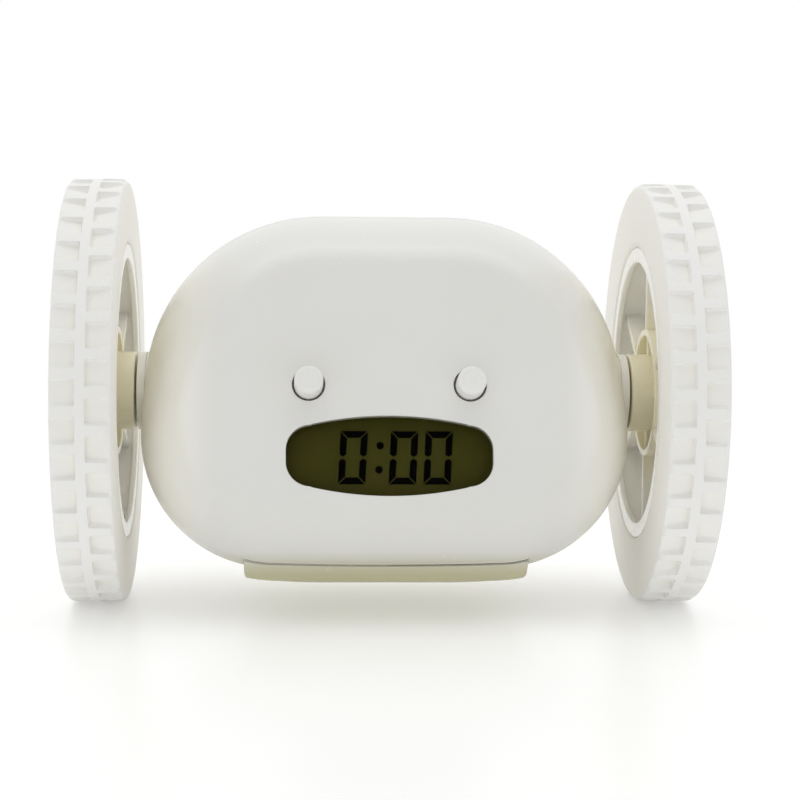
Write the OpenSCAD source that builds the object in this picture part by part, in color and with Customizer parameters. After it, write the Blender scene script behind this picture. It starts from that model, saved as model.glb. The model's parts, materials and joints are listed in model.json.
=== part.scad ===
// Runaway alarm clock: a rounded body slung between two big driven wheels.
// Millimetres, +Z up, front faces -Y, origin on the floor under the middle of the axle line.

/* [Wheels] */
// outside radius of the tyre over the tread
wheel_radius = 45; // [44:0.5:46]
// width of the tyre across the tread
tyre_width = 12; // [11:0.5:13]
// middle of each tyre, out from the middle of the clock
tyre_centre_x = 60.4; // [60.2:0.1:61]
// pockets around each tread row
tread_pockets = 38; // [30:1:40]
// how deep the pockets go
tread_depth = 1.4; // [1:0.1:1.6]
// seat between tyre and rim
rim_radius = 31.4; // [30.5:0.1:32]
// wall ring half way out on the wheel
ring_radius = 13; // [12.5:0.1:14]
// round boss that runs up to the body
boss_radius = 8.3; // [7.8:0.1:8.5]
// spokes between ring and rim
spoke_count = 6; // [5:1:8]

/* [Body] */
// radius of the main rounded barrel
barrel_radius = 37.5; // [37:0.25:38]
// half length of its straight middle
barrel_half = 13.5; // [13:0.25:14]
// radius of the fuller lower cheeks
cheek_radius = 27.5; // [27:0.25:28]
// half length of the cheeks' straight middle
cheek_half = 23.5; // [23:0.25:24]
// cheeks' centre forward of the axle
cheek_forward = 11.5; // [11:0.25:12]
// cheeks' centre below the axle
cheek_drop = 8.5; // [8:0.25:9]
// wall of the two shells
wall = 2.2; // [2:0.1:2.4]
// lean of the face, top backwards
face_tilt = 16; // [15:0.5:17]
// face plane forward of the axle at axle height
face_forward = 31; // [30.5:0.25:31.5]
// round under the face
chin_radius = 9; // [8:0.5:10]
// plane where front and rear shell meet
parting_y = -4; // [-4.5:0.25:-3.5]

/* [Display] */
// width of the window
window_width = 41.5; // [40.5:0.5:42]
// height of the window at its middle
window_height = 16.2; // [15.8:0.1:16.4]
// window centre below the axle, along the face
window_down = 10.1; // [9.8:0.1:10.4]
// height of the digits
digit_height = 10.8; // [10:0.2:11]
// width of the digits
digit_width = 5.5; // [5:0.1:5.8]
// pitch from digit to digit
digit_pitch = 7; // [6.8:0.1:7.2]

/* [Buttons] */
// front button holes, out from the middle
eye_x = 16.25; // [15.5:0.25:16.5]
// front button holes above the axle, along the face
eye_up = 4.3; // [4:0.1:4.6]
// radius of the front caps
eye_radius = 2.9; // [2.7:0.05:2.95]
// how far the front caps stand out
eye_proud = 5; // [4:0.25:5.5]
// running gap around a cap
cap_gap = 0.45; // [0.4:0.05:0.55]
// travel of every push button
button_travel = 0.5; // [0.3:0.1:0.5]

/* [Drive] */
// gear module
gear_module = 0.5; // [0.48:0.01:0.5]
// teeth on the motor pinion
pinion_teeth = 10; // [10:1:11]
// teeth on the big side of the double gear
double_big_teeth = 40; // [38:1:40]
// teeth on the small side of the double gear
double_small_teeth = 12; // [12:1:13]
// teeth on the wheel gear
wheel_gear_teeth = 44; // [42:1:44]
// radius of the wheel axles
axle_radius = 1.5; // [1.4:0.1:1.6]

/* [Cells] */
// radius of one cell
cell_radius = 5.15; // [5:0.05:5.25]
// length of one cell without its nub
cell_length = 43.6; // [43:0.2:44]

/* [Hidden] */
$fn = 96;
e = 0.02;
axle_z = wheel_radius;
run_gap = 0.05;
seat_gap = 0.05;
part_gap = 0.3;
big = 200;
// face frame: v runs up the face, w points out of it
chin_offset = face_forward * cos(face_tilt) - chin_radius;
cheek_v = face_forward * sin(face_tilt) - cheek_drop * cos(face_tilt) - cheek_forward * sin(face_tilt);
cheek_w = cheek_forward * cos(face_tilt) - cheek_drop * sin(face_tilt);
chin_reach = sqrt(pow(cheek_radius - chin_radius, 2) - pow(chin_offset - cheek_w, 2));
chin_v = cheek_v - chin_reach;
// where the chin round runs into the cheeks
chin_turn = atan2(chin_reach, chin_offset - cheek_w);
eye_hole = eye_radius + cap_gap;
// window ends: corner rounds that run into the bowed top and bottom
window_bow = 72;
window_corner = 5;
window_corner_x = window_width / 2 - window_corner;
window_corner_y = window_height / 2 - window_bow + 0.03
    + sqrt(pow(window_bow - window_corner, 2) - pow(window_corner_x, 2));
// display glass behind the window
glass_wide = 46;
glass_high = 18;
holder_wall = 1;
// the shown time: bars, gaps between them and places across the glass
bar_thick = 1.35;
bar_gap = 0.2;
digit_lean = 3;
digit_up = 0.2;
first_digit_x = -7.25;
second_digit_x = 2.95;
dots_x = -1.9;
dot_up = 2.45;
// layers behind the face, all along w
flange_back = -wall - 1.2;
glass_front = flange_back - 0.5;
glass_thick = 2.6;
board_front = glass_front - glass_thick - 1.7;
board_thick = 1.6;
board_back = board_front - board_thick;
board_half_x = 30;
board_top = 12;
board_low = -20;
post_x = glass_wide / 2 + holder_wall + 2.5;
post_top = 8.6;
post_low = -16.6;
screw_radius = 1;
// tyre and rim
tyre_in_x = tyre_centre_x - tyre_width / 2;
tyre_out_x = tyre_centre_x + tyre_width / 2;
shoulder = 1.4;
rib_width = 2.1;
pocket_slope = 0.18;
pitch_angle = 360 / tread_pockets;
pocket_length = 0.66 * 2 * PI * wheel_radius / tread_pockets;
// axle line, from the body outwards
boss_in_x = barrel_half + barrel_radius - 5;
collar_seat_x = barrel_half + barrel_radius - 0.4;
collar_out_x = collar_seat_x + 1.7;
hub_in_x = collar_out_x + 0.5;
web_in_x = tyre_centre_x + 0.2;
web_out_x = web_in_x + 1.5;
screw_deep = 5;
spoke_tall = 3.8;
// gear centres, measured in the YZ plane from the axle
double_angle = 35;
motor_angle = -35;
far_centre = gear_module * (double_small_teeth + wheel_gear_teeth) / 2;
near_centre = gear_module * (pinion_teeth + double_big_teeth) / 2;
double_y = far_centre * cos(double_angle);
double_z = far_centre * sin(double_angle);
motor_y = double_y + near_centre * cos(motor_angle);
motor_z = double_z + near_centre * sin(motor_angle);
box_in_x = 30;
box_wall = 1.2;
lug_radius = 2.2;
rib_in_x = box_in_x + 2;
near_gear_x = box_in_x + box_wall + 0.4;
near_gear_wide = 2.2;
far_gear_x = near_gear_x + near_gear_wide + 0.6;
far_gear_wide = 3;
box_step_x = far_gear_x + 1.1;
box_out_x = far_gear_x + far_gear_wide + 0.4;
lid_out_x = box_out_x + 1.4;
motor_length = 20;
motor_radius = 10;
motor_flat = 7.5;
// cells and their tray
cell_z = 12.1 - barrel_radius;
cell_pitch = 2 * cell_radius + 0.6;
cell_first_y = -14.6;
tray_top = cell_z + cell_radius + 1.6;
contact_x = cell_length / 2 + 2.3;
contact_thick = 0.4;
tray_bay = contact_x + contact_thick + 0.1;
tray_half_x = tray_bay + 2;
tray_front_y = cell_first_y - cell_radius - 1.5;
tray_rear_y = cell_first_y + 3 * cell_pitch + cell_radius + 1.5;
weight_half_x = 27;
weight_front_y = -28.6;
weight_top = -23;
hatch_half_x = tray_bay + 0.6;
cover_half_x = hatch_half_x + 4.1;
cover_front_y = -25;
cover_rear_y = 23.5;
cover_skin = 2.6;
cover_edge_z = -33.1;
cover_dip = 1.5;
cover_bow = (pow(cover_half_x, 2) + pow(cover_dip, 2)) / (2 * cover_dip);
// body screws
upper_x = 20;
upper_z = 27.6;
lower_x = 31.2;
lower_z = -21.6;
// rear controls
rear_board_y = 27;
hour_z = 7.4;
minute_z = -1.2;
mode_z = -10.6;
rear_cap = 2.4;
mode_travel = 1.2;
// sounder behind its grille
sound_angle = 55;
sound_radius = 13;
sound_front = barrel_radius - 6.3;
// room between a lead's end and what it is soldered to
lead_gap = 0.02;

// ---------- shared helpers ----------

// stands children on the axle line
module at_axle(y = 0, z = 0) {
    translate([0, y, axle_z + z])
        children();
}

// turns +Z into +X, starting at x
module along_x(x = 0) {
    translate([x, 0, 0])
        rotate([0, 90, 0])
            children();
}

// plain rod along X from x0 to x1 at the axle line plus (y, z)
module rod_x(x0, x1, r, y = 0, z = 0) {
    at_axle(y, z)
        along_x(x0)
            cylinder(r = r, h = x1 - x0);
}

// 2D outline in (y, z) pushed out along X between x0 and x1
module slab_x(x0, x1) {
    translate([x0, 0, axle_z])
        rotate([90, 0, 90])
            linear_extrude(height = x1 - x0)
                children();
}

// rod along Y from y0 to y1
module rod_y(x, z, y0, y1, r) {
    translate([x, y1, axle_z + z])
        rotate([90, 0, 0])
            cylinder(r = r, h = y1 - y0);
}

// frame lying on the face: x stays, y runs up the face, z points out of it
module on_face(v = 0, w = 0) {
    translate([0, -face_forward, axle_z])
        rotate([90 - face_tilt, 0, 0])
            translate([0, v, w])
                children();
}

// frame of the sounder, +Z pointing out through its grille
module on_sounder(d = 0) {
    at_axle()
        rotate([sound_angle - 90, 0, 0])
            translate([0, 0, d])
                children();
}

// rectangle with true round corners, centred
module round_rect(wide, high, r) {
    square([wide - 2 * r, high], center = true);
    square([wide, high - 2 * r], center = true);
    for (sx = [-1, 1], sy = [-1, 1])
        translate([sx * (wide / 2 - r), sy * (high / 2 - r)])
            circle(r = r);
}

// right side as drawn, left side mirrored
module side(s) {
    mirror([s < 0 ? 1 : 0, 0, 0])
        children();
}

// round lead through a list of points, with slightly fuller ball corners
module lead(points, r) {
    for (i = [0 : len(points) - 2]) {
        step = points[i + 1] - points[i];
        translate([points[i][0], points[i][1], axle_z + points[i][2]])
            rotate([0, acos(step[2] / norm(step)), atan2(step[1], step[0])])
                cylinder(r = r, h = norm(step), $fn = 20);
    }
    if (len(points) > 2)
        for (i = [1 : len(points) - 2])
            translate([points[i][0], points[i][1], axle_z + points[i][2]])
                sphere(r = 1.12 * r, $fn = 20);
}

// ---------- body form ----------

// barrel with ball ends along X
module capsule(r, half, y, z) {
    at_axle(y, z)
        rotate([0, 90, 0])
            rotate_extrude()
                intersection() {
                    union() {
                        for (s = [-1, 1])
                            translate([0, s * half])
                                circle(r = r);
                        translate([-r, -half])
                            square([2 * r, 2 * half]);
                    }
                    translate([0, -big / 2])
                        square([big, big]);
                }
}

// everything behind the leaning face, with the chin rounded under it
module behind_face(inset) {
    translate([-big / 2, -face_forward, axle_z])
        rotate([90 - face_tilt, 0, 0])
            rotate([90, 0, 90])
                linear_extrude(height = big)
                    union() {
                        translate([chin_v, -big])
                            square([big, big - inset]);
                        translate([chin_v, -chin_radius])
                            circle(r = chin_radius - inset);
                        // everything below the tangent at the end of the round
                        translate([chin_v, -chin_radius])
                            rotate(chin_turn)
                                translate([-big, -big])
                                    square([big, big + chin_radius - inset]);
                    }
}

// whole body, shrunk by inset
module body_form(inset) {
    intersection() {
        union() {
            capsule(barrel_radius - inset, barrel_half, 0, 0);
            capsule(cheek_radius - inset, cheek_half, -cheek_forward, -cheek_drop);
        }
        behind_face(inset);
    }
}

// window outline: bowed top and bottom, round corners, grown by g
module window_outline(g) {
    intersection() {
        union() {
            square([2 * window_corner_x, big], center = true);
            square([window_width + 2 * g, 2 * window_corner_y], center = true);
            for (sx = [-1, 1], sy = [-1, 1])
                translate([sx * window_corner_x, sy * window_corner_y])
                    circle(r = window_corner + g);
        }
        translate([0, window_height / 2 - window_bow])
            circle(r = window_bow + g, $fn = 360);
        translate([0, window_bow - window_height / 2])
            circle(r = window_bow + g, $fn = 360);
    }
}

// holes through the rear wall for the sounder
module grille() {
    on_sounder(20) {
        cylinder(r = 0.9, h = 30, $fn = 24);
        for (k = [0 : 5])
            rotate(60 * k)
                translate([4, 0, 0])
                    cylinder(r = 0.9, h = 30, $fn = 24);
        for (k = [0 : 11])
            rotate(30 * k)
                translate([8, 0, 0])
                    cylinder(r = 0.9, h = 30, $fn = 24);
    }
}

// end pads the axle collars seat on, before the shells are parted
module end_pads() {
    for (s = [-1, 1])
        side(s)
            rod_x(boss_in_x, collar_seat_x, boss_radius);
}

module end_bores() {
    for (s = [-1, 1])
        side(s)
            rod_x(boss_in_x - 1, collar_seat_x + 5, 6);
}

// slope that squares off the ends outside the collar seats
module end_trims() {
    for (s = [-1, 1])
        side(s)
            rod_x(collar_seat_x, collar_seat_x + 5, boss_radius + 2);
}

module front_half() {
    translate([-big / 2, parting_y - big, -big / 2])
        cube([big, big, 2 * big]);
}

module rear_half() {
    translate([-big / 2, parting_y, -big / 2])
        cube([big, big, 2 * big]);
}

// opening under the clock for the cell tray
module hatch() {
    translate([-hatch_half_x, tray_front_y + 1.2, 0])
        cube([2 * hatch_half_x, tray_rear_y - tray_front_y - 2.4, axle_z - 22]);
}

// ribs that clamp the gearboxes, one pair in each shell
module drive_ribs() {
    for (s = [-1, 1])
        side(s)
            difference() {
                slab_x(rib_in_x, rib_in_x + 2)
                    square(big, center = true);
                slab_x(rib_in_x - 1, rib_in_x + 3) {
                    box_outline(box_wall + seat_gap, true);
                    for (p = lug_spots)
                        translate(p)
                            circle(r = lug_radius + seat_gap);
                }
                // the shells close over the axle line, so the ribs stop short of it
                translate([0, parting_y, -big])
                    cube([big, -parting_y, 3 * big]);
            }
}

// the four body screw positions as [x, z, rear end of the screw shank]
body_screw_spots = [
    for (s = [-1, 1]) [s * upper_x, upper_z, 12],
    for (s = [-1, 1]) [s * lower_x, lower_z, 12]
];

module front_shell() {
    color("white")
        difference() {
            union() {
                intersection() {
                    difference() {
                        union() {
                            body_form(0);
                            end_pads();
                        }
                        difference() {
                            body_form(wall);
                            end_pads();
                        }
                    }
                    front_half();
                }
                // screw posts
                intersection() {
                    union() {
                        for (b = body_screw_spots)
                            rod_y(b[0], b[1], -34, parting_y, 3.2);
                        drive_ribs();
                    }
                    body_form(1);
                    front_half();
                }
                // board posts
                for (sx = [-1, 1], v = [post_top, post_low])
                    translate([sx * post_x, 0, 0])
                        on_face(v, board_front)
                            cylinder(r = 2.2, h = -board_front - 1);
            }
            end_bores();
            end_trims();
            hatch();
            on_face(-window_down, -wall - 2)
                linear_extrude(height = wall + 6)
                    window_outline(0);
            // seat for the lens flange where the chin starts to round
            on_face(-window_down, flange_back - 0.1)
                linear_extrude(height = -wall - flange_back + 0.1)
                    window_outline(1.5);
            for (s = [-1, 1])
                translate([s * eye_x, 0, 0])
                    on_face(eye_up, -wall - 2)
                        cylinder(r = eye_hole, h = wall + 6);
            for (b = body_screw_spots)
                rod_y(b[0], b[1], parting_y - 9, parting_y + 1, screw_radius + seat_gap);
            for (sx = [-1, 1], v = [post_top, post_low])
                translate([sx * post_x, 0, 0])
                    on_face(v, board_front - 1)
                        cylinder(r = screw_radius + seat_gap, h = 5);
        }
}

module rear_shell() {
    color("white")
        difference() {
            union() {
                intersection() {
                    difference() {
                        union() {
                            body_form(0);
                            end_pads();
                        }
                        difference() {
                            body_form(wall);
                            end_pads();
                        }
                    }
                    rear_half();
                }
                intersection() {
                    union() {
                        for (b = body_screw_spots)
                            rod_y(b[0], b[1], parting_y, 40, 3.2);
                        // cup that holds the sounder
                        on_sounder(sound_front - 5)
                            difference() {
                                cylinder(r = sound_radius + 1.5, h = 20);
                                translate([0, 0, -1])
                                    cylinder(r = sound_radius + seat_gap, h = 6);
                                cylinder(r = sound_radius - 1.2, h = 30);
                            }
                        // posts for the rear board
                        for (sx = [-1, 1], z = [11.2, -15.6])
                            rod_y(6.4 * sx, z, rear_board_y + board_thick, 40, 1.9);
                        drive_ribs();
                    }
                    body_form(1);
                    rear_half();
                }
            }
            end_bores();
            end_trims();
            hatch();
            grille();
            for (b = body_screw_spots) {
                rod_y(b[0], b[1], parting_y - 1, 40, screw_radius + 0.15);
                rod_y(b[0], b[1], b[2], 40, 2.1);
            }
            for (z = [hour_z, minute_z])
                rod_y(0, z, 33, 40, rear_cap + 0.35);
            translate([0, 36, axle_z + mode_z])
                cube([2.6 + 2 * mode_travel + 1, 12, 3.4], center = true);
            for (sx = [-1, 1], z = [11.2, -15.6])
                rod_y(6.4 * sx, z, rear_board_y, rear_board_y + 5, 0.8 + seat_gap);
        }
}

module battery_cover() {
    color("white")
        difference() {
            intersection() {
                difference() {
                    body_form(-cover_skin);
                    body_form(-part_gap);
                }
                translate([-cover_half_x, cover_front_y, 0])
                    cube([2 * cover_half_x, cover_rear_y - cover_front_y, axle_z - 22.6]);
            }
            // the front edge is set back in the middle
            translate([0, cover_front_y + cover_dip - cover_bow, axle_z + cover_edge_z])
                cylinder(r = cover_bow, h = 20, $fn = 360);
            // below the edge the front slopes back at 45 degrees
            translate([-cover_half_x - 1, cover_front_y + cover_dip, axle_z + cover_edge_z])
                rotate([45, 0, 0])
                    translate([0, -40, -40])
                        cube([2 * cover_half_x + 2, 40, 80]);
        }
}

// ---------- display stack ----------

module display_lens() {
    color("white")
        on_face(-window_down, flange_back) {
            linear_extrude(height = -flange_back - 0.25)
                window_outline(-0.1);
            linear_extrude(height = -wall - flange_back - 0.05)
                window_outline(1.4);
        }
}

module lcd_panel() {
    color("olive")
        on_face(-window_down, glass_front - glass_thick)
            translate([-glass_wide / 2, -glass_high / 2, 0])
                cube([glass_wide, glass_high, glass_thick - 0.2]);
}

// leans a digit's corner points to the right
function lean(points) = [for (q = points) [q[0] + q[1] * tan(digit_lean), q[1]]];

// flat bar of the nought, mitred at both ends: top for s = 1, bottom for s = -1
module flat_bar(s) {
    x = digit_width / 2 - bar_gap;
    y = digit_height / 2;
    polygon(lean([[-x, s * y], [x, s * y], [x - bar_thick, s * (y - bar_thick)],
        [bar_thick - x, s * (y - bar_thick)]]));
}

// upright bar of the nought, pointed at the middle: sx picks the side, sy the half
module upright_bar(sx, sy) {
    x = digit_width / 2;
    y = digit_height / 2 - bar_gap;
    polygon(lean([[sx * x, sy * y], [sx * (x - bar_thick), sy * (y - bar_thick)],
        [sx * (x - bar_thick), sy * bar_thick / 2], [sx * (x - bar_thick / 2), sy * bar_gap],
        [sx * x, sy * bar_thick / 2]]));
}

// the nought: six bars out of the seven
module digit_nought() {
    for (s = [-1, 1])
        flat_bar(s);
    for (sx = [-1, 1], sy = [-1, 1])
        upright_bar(sx, sy);
}

module lcd_segments() {
    color("black")
        on_face(digit_up - window_down, glass_front - 0.2)
            linear_extrude(height = 0.15) {
                for (x = [first_digit_x, second_digit_x, second_digit_x + digit_pitch])
                    translate([x, 0])
                        digit_nought();
                for (y = [-dot_up, dot_up])
                    translate([dots_x + y * tan(digit_lean), y])
                        circle(r = 0.75);
            }
}

module lcd_holder() {
    color("gray")
        on_face(-window_down, board_front)
            linear_extrude(height = flange_back - board_front - 0.1)
                difference() {
                    square([glass_wide + 2 * holder_wall + 0.2, glass_high + 2 * holder_wall + 0.2],
                        center = true);
                    square([glass_wide + 0.2, glass_high + 0.2], center = true);
                }
}

module contact_strip() {
    color("black")
        on_face(-window_down - glass_high / 2 + 1.4, board_front)
            translate([1.5 - glass_wide / 2, -1, 0])
                cube([glass_wide - 3, 2, glass_front - glass_thick - board_front]);
}

module main_board() {
    color("green")
        difference() {
            on_face(0, board_back)
                translate([-board_half_x, board_low, 0])
                    cube([2 * board_half_x, board_top - board_low, board_thick]);
            for (sx = [-1, 1], v = [post_top, post_low])
                translate([sx * post_x, 0, 0])
                    on_face(v, board_back - 1)
                        cylinder(r = screw_radius + 0.15, h = 4);
            // clear of the lower shell posts
            for (s = [-1, 1])
                rod_y(s * lower_x, lower_z, -40, 0, 3.7);
        }
}

module board_parts() {
    color("black") {
        // clock chip under its blob
        on_face(-3, board_back - 1.4)
            translate([0, 0, 0])
                cylinder(r = 5, h = 1.4);
        // motor driver
        on_face(-12, board_back - 1.7)
            translate([-14, -2.5, 0])
                cube([6, 5, 1.7]);
        // crystal can
        on_face(-12, board_back - 2.2)
            translate([8, -1.5, 0])
                cube([8, 3, 2.2]);
        // two capacitors
        for (x = [-20, 20])
            translate([x, 0, 0])
                on_face(-4, board_back - 6)
                    cylinder(r = 2.5, h = 6);
    }
}

module front_switches() {
    color("dimgray")
        for (s = [-1, 1])
            translate([s * eye_x, 0, 0])
                on_face(eye_up, board_front) {
                    translate([-3, -3, 0])
                        cube([6, 6, 2.6]);
                    cylinder(r = 1.5, h = 3.2);
                }
}

// a front cap: domed post, keeper flange behind the wall and a foot over its switch
module eye_cap(x) {
    foot = board_front + 3.2 + button_travel + 0.2;
    translate([x, 0, 0])
        on_face(eye_up, foot)
            rotate_extrude() {
                difference() {
                    square([eye_radius, eye_proud - foot]);
                    translate([eye_radius - 0.5, eye_proud - foot - 0.5])
                        square([1, 1]);
                }
                intersection() {
                    translate([eye_radius - 0.5, eye_proud - foot - 0.5])
                        circle(r = 0.5);
                    square([big, big]);
                }
                square([eye_radius + 1.2, -wall - foot - 0.15 - 0.5]);
            }
}

module time_button() {
    color("white")
        eye_cap(-eye_x);
}

module alarm_button() {
    color("white")
        eye_cap(eye_x);
}

// ---------- rear controls ----------

module rear_board() {
    color("green")
        difference() {
            translate([-8.6, rear_board_y, axle_z - 17.6])
                cube([17.2, board_thick, 31]);
            for (sx = [-1, 1], z = [11.2, -15.6])
                rod_y(6.4 * sx, z, rear_board_y - 1, rear_board_y + 3, 0.95);
        }
}

module rear_switches() {
    color("dimgray")
        for (z = [hour_z, minute_z]) {
            translate([-2.5, rear_board_y + board_thick, axle_z + z - 2.5])
                cube([5, 1.8, 5]);
            rod_y(0, z, rear_board_y + board_thick, rear_board_y + board_thick + 2.3, 1.2);
        }
}

module rear_cap_form(z) {
    foot = rear_board_y + board_thick + 2.3 + button_travel + 0.2;
    rod_y(0, z, foot, 38.4, rear_cap);
    rod_y(0, z, foot, foot + 1.2, rear_cap + 0.9);
}

module hour_button() {
    color("white")
        rear_cap_form(hour_z);
}

module minute_button() {
    color("white")
        rear_cap_form(minute_z);
}

module mode_switch() {
    color("silver")
        difference() {
            translate([-4.5, rear_board_y + board_thick, axle_z + mode_z - 2.2])
                cube([9, 3, 4.4]);
            translate([-2.8, rear_board_y + board_thick + 1, axle_z + mode_z - 1.1])
                cube([5.6, 4, 2.2]);
        }
}

module mode_slider() {
    color("white")
        translate([-1.3 - mode_travel, 0, axle_z + mode_z]) {
            translate([0, rear_board_y + board_thick + 1.4, -0.9])
                cube([2.6, 4, 1.8]);
            translate([0, rear_board_y + board_thick + 3.4, -1.4])
                cube([2.6, 5.6, 2.8]);
        }
}

module sounder() {
    color("silver")
        on_sounder(sound_front - 4) {
            cylinder(r = sound_radius, h = 3.8);
            translate([0, 0, -3])
                cylinder(r = 6.5, h = 3 + e);
        }
}

// ---------- cells ----------

// y of each cell
cell_rows = [for (k = [0 : 3]) cell_first_y + k * cell_pitch];

module battery_tray() {
    color("white")
        difference() {
            intersection() {
                translate([-tray_half_x, tray_front_y, 0])
                    cube([2 * tray_half_x, tray_rear_y - tray_front_y, axle_z + tray_top]);
                body_form(wall + 0.1);
            }
            for (y = cell_rows)
                rod_x(-tray_bay, tray_bay, cell_radius + 0.2, y, cell_z);
            translate([-tray_bay, cell_first_y - cell_radius - 0.2, -1])
                cube([2 * tray_bay, 3 * cell_pitch + 2 * cell_radius + 0.4, axle_z + cell_z + 2.5]);
        }
}

module cells() {
    color("silver")
        for (k = [0 : 3])
            at_axle(cell_rows[k], cell_z)
                mirror([k % 2, 0, 0]) {
                    along_x(-cell_length / 2)
                        cylinder(r = cell_radius, h = cell_length);
                    along_x(cell_length / 2 - e)
                        cylinder(r = 1.9, h = 0.9);
                }
}

// steel bar that balances the body so that it rests with the face at its lean
module balance_weight() {
    color("silver")
        intersection() {
            translate([-weight_half_x, weight_front_y, 0])
                cube([2 * weight_half_x, tray_front_y - part_gap - weight_front_y, axle_z + weight_top]);
            body_form(wall + 0.1);
        }
}

// sprung plates at both ends of every cell
module battery_contacts() {
    color("gold")
        for (k = [0 : 3])
            at_axle(cell_rows[k], cell_z)
                mirror([k % 2, 0, 0]) {
                    translate([contact_x, -3.2, -3])
                        cube([contact_thick, 6.4, 7]);
                    translate([contact_x - 1.1, -1.5, -1.5])
                        cube([1.1 + e, 3, 3]);
                    translate([-contact_x - contact_thick, -3.2, -3])
                        cube([contact_thick, 6.4, 7]);
                    translate([-contact_x - e, -2.2, -2.2])
                        cube([2.1, 4.4, 4.4]);
                }
}

// ---------- drive ----------

// tooth half angle at radius r for an involute flank
function flank(r, n) = let(rp = gear_module * n / 2, rb = rp * cos(25),
    ap = 25, a = acos(min(1, rb / max(r, rb))))
    90 / n - 0.11 / rp * 180 / PI / 2 + (tan(ap) * 180 / PI - ap) - (tan(a) * 180 / PI - a);

// spur gear outline
module gear_outline(n, phase = 0) {
    rp = gear_module * n / 2;
    ra = rp + 0.8 * gear_module;
    rr = rp - 1.15 * gear_module;
    rb = rp * cos(25);
    r0 = max(rr, rb);
    radii = [for (i = [0 : 3]) r0 + (ra - r0) * i / 3];
    polygon([
        for (k = [0 : n - 1])
            for (p = concat(
                r0 > rr ? [[rr, -flank(r0, n)]] : [],
                [for (i = [0 : 3]) [radii[i], -flank(radii[i], n)]],
                [for (i = [3 : -1 : 0]) [radii[i], flank(radii[i], n)]],
                r0 > rr ? [[rr, flank(r0, n)]] : []))
                p[0] * [cos(phase + 360 * k / n + p[1]), sin(phase + 360 * k / n + p[1])]
    ]);
}

// gear between x0 and x1 at (y, z)
module gear_x(n, phase, x0, x1, y, z) {
    at_axle(y, z)
        translate([x0, 0, 0])
            rotate([90, 0, 90])
                linear_extrude(height = x1 - x0)
                    gear_outline(n, phase);
}

module motor_form() {
    at_axle(motor_y, motor_z)
        along_x(box_in_x - motor_length)
            intersection() {
                cylinder(r = motor_radius, h = motor_length);
                translate([-motor_radius, -motor_flat, 0])
                    cube([2 * motor_radius, 2 * motor_flat, motor_length]);
            }
    rod_x(box_in_x - motor_length - 1.5, box_in_x - motor_length + e, 3, motor_y, motor_z);
}

module motor_bore() {
    rod_x(box_in_x - 4, box_in_x + 1, 1 + run_gap, motor_y, motor_z);
}

module motor_left() {
    color("silver")
        side(-1)
            difference() {
                motor_form();
                motor_bore();
            }
}

module motor_right() {
    color("silver")
        difference() {
            motor_form();
            motor_bore();
        }
}

// the pinion with the end of its motor shaft
module pinion_form() {
    gear_x(pinion_teeth, motor_angle + 180, near_gear_x, near_gear_x + near_gear_wide, motor_y, motor_z);
    rod_x(box_in_x - 3.6, near_gear_x + e, 1, motor_y, motor_z);
}

module pinion_left() {
    color("gold")
        side(-1)
            pinion_form();
}

module pinion_right() {
    color("gold")
        pinion_form();
}

module double_gear_form() {
    difference() {
        union() {
            gear_x(double_big_teeth, motor_angle + 180 / double_big_teeth, near_gear_x,
                near_gear_x + near_gear_wide, double_y, double_z);
            rod_x(near_gear_x + near_gear_wide - e, far_gear_x, 2.3, double_y, double_z);
            gear_x(double_small_teeth, double_angle + 180, far_gear_x - e, far_gear_x + far_gear_wide,
                double_y, double_z);
        }
        rod_x(near_gear_x - 1, far_gear_x + far_gear_wide + 1, 0.8 + run_gap, double_y, double_z);
    }
}

module double_gear_left() {
    color("white")
        side(-1)
            double_gear_form();
}

module double_gear_right() {
    color("white")
        double_gear_form();
}

module gear_pin_form() {
    rod_x(box_in_x + 0.2, lid_out_x - 0.2, 0.8, double_y, double_z);
}

module gear_pin_left() {
    color("silver")
        side(-1)
            gear_pin_form();
}

module gear_pin_right() {
    color("silver")
        gear_pin_form();
}

module wheel_gear_form() {
    difference() {
        union() {
            gear_x(wheel_gear_teeth, double_angle + 180 / wheel_gear_teeth, far_gear_x,
                far_gear_x + far_gear_wide, 0, 0);
            rod_x(near_gear_x + 0.1, far_gear_x + e, 3.2, 0, 0);
        }
        rod_x(near_gear_x - 1, far_gear_x + far_gear_wide + 1, axle_radius, 0, 0);
    }
}

module wheel_gear_left() {
    color("white")
        side(-1)
            wheel_gear_form();
}

module wheel_gear_right() {
    color("white")
        wheel_gear_form();
}

// outline of the gearbox round its three shafts, grown by g
module box_outline(g, reach) {
    circle(r = gear_module * wheel_gear_teeth / 2 + 1 + g);
    if (reach) {
        translate([double_y, double_z])
            circle(r = gear_module * double_big_teeth / 2 + 1 + g);
        translate([motor_y, motor_z])
            circle(r = gear_module * pinion_teeth / 2 + 1 + g);
    }
}

// small lug circles that take the gearbox screws
lug_spots = [[-10.4, 8.6], [-2, -13.2]];

module gearbox_form() {
    difference() {
        union() {
            slab_x(box_in_x, box_step_x)
                box_outline(box_wall, true);
            slab_x(box_in_x, box_out_x)
                box_outline(box_wall, false);
            for (p = lug_spots)
                rod_x(box_in_x, box_out_x, lug_radius, p[0], p[1]);
        }
        slab_x(box_in_x + box_wall, box_step_x - box_wall)
            box_outline(0, true);
        slab_x(box_in_x + box_wall, box_out_x + 1)
            box_outline(0, false);
        // room for the small side of the double gear
        rod_x(box_in_x + box_wall, box_out_x + 1, gear_module * double_small_teeth / 2 + 1,
            double_y, double_z);
        rod_x(box_in_x - 1, box_in_x + 5, axle_radius + run_gap, 0, 0);
        rod_x(box_in_x - 1, box_in_x + 5, 0.8 + 0.01, double_y, double_z);
        rod_x(box_in_x - 1, box_in_x + 5, 1.4, motor_y, motor_z);
        for (p = lug_spots)
            rod_x(box_out_x - 5, box_out_x + 1, 0.8 + seat_gap, p[0], p[1]);
    }
}

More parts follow.
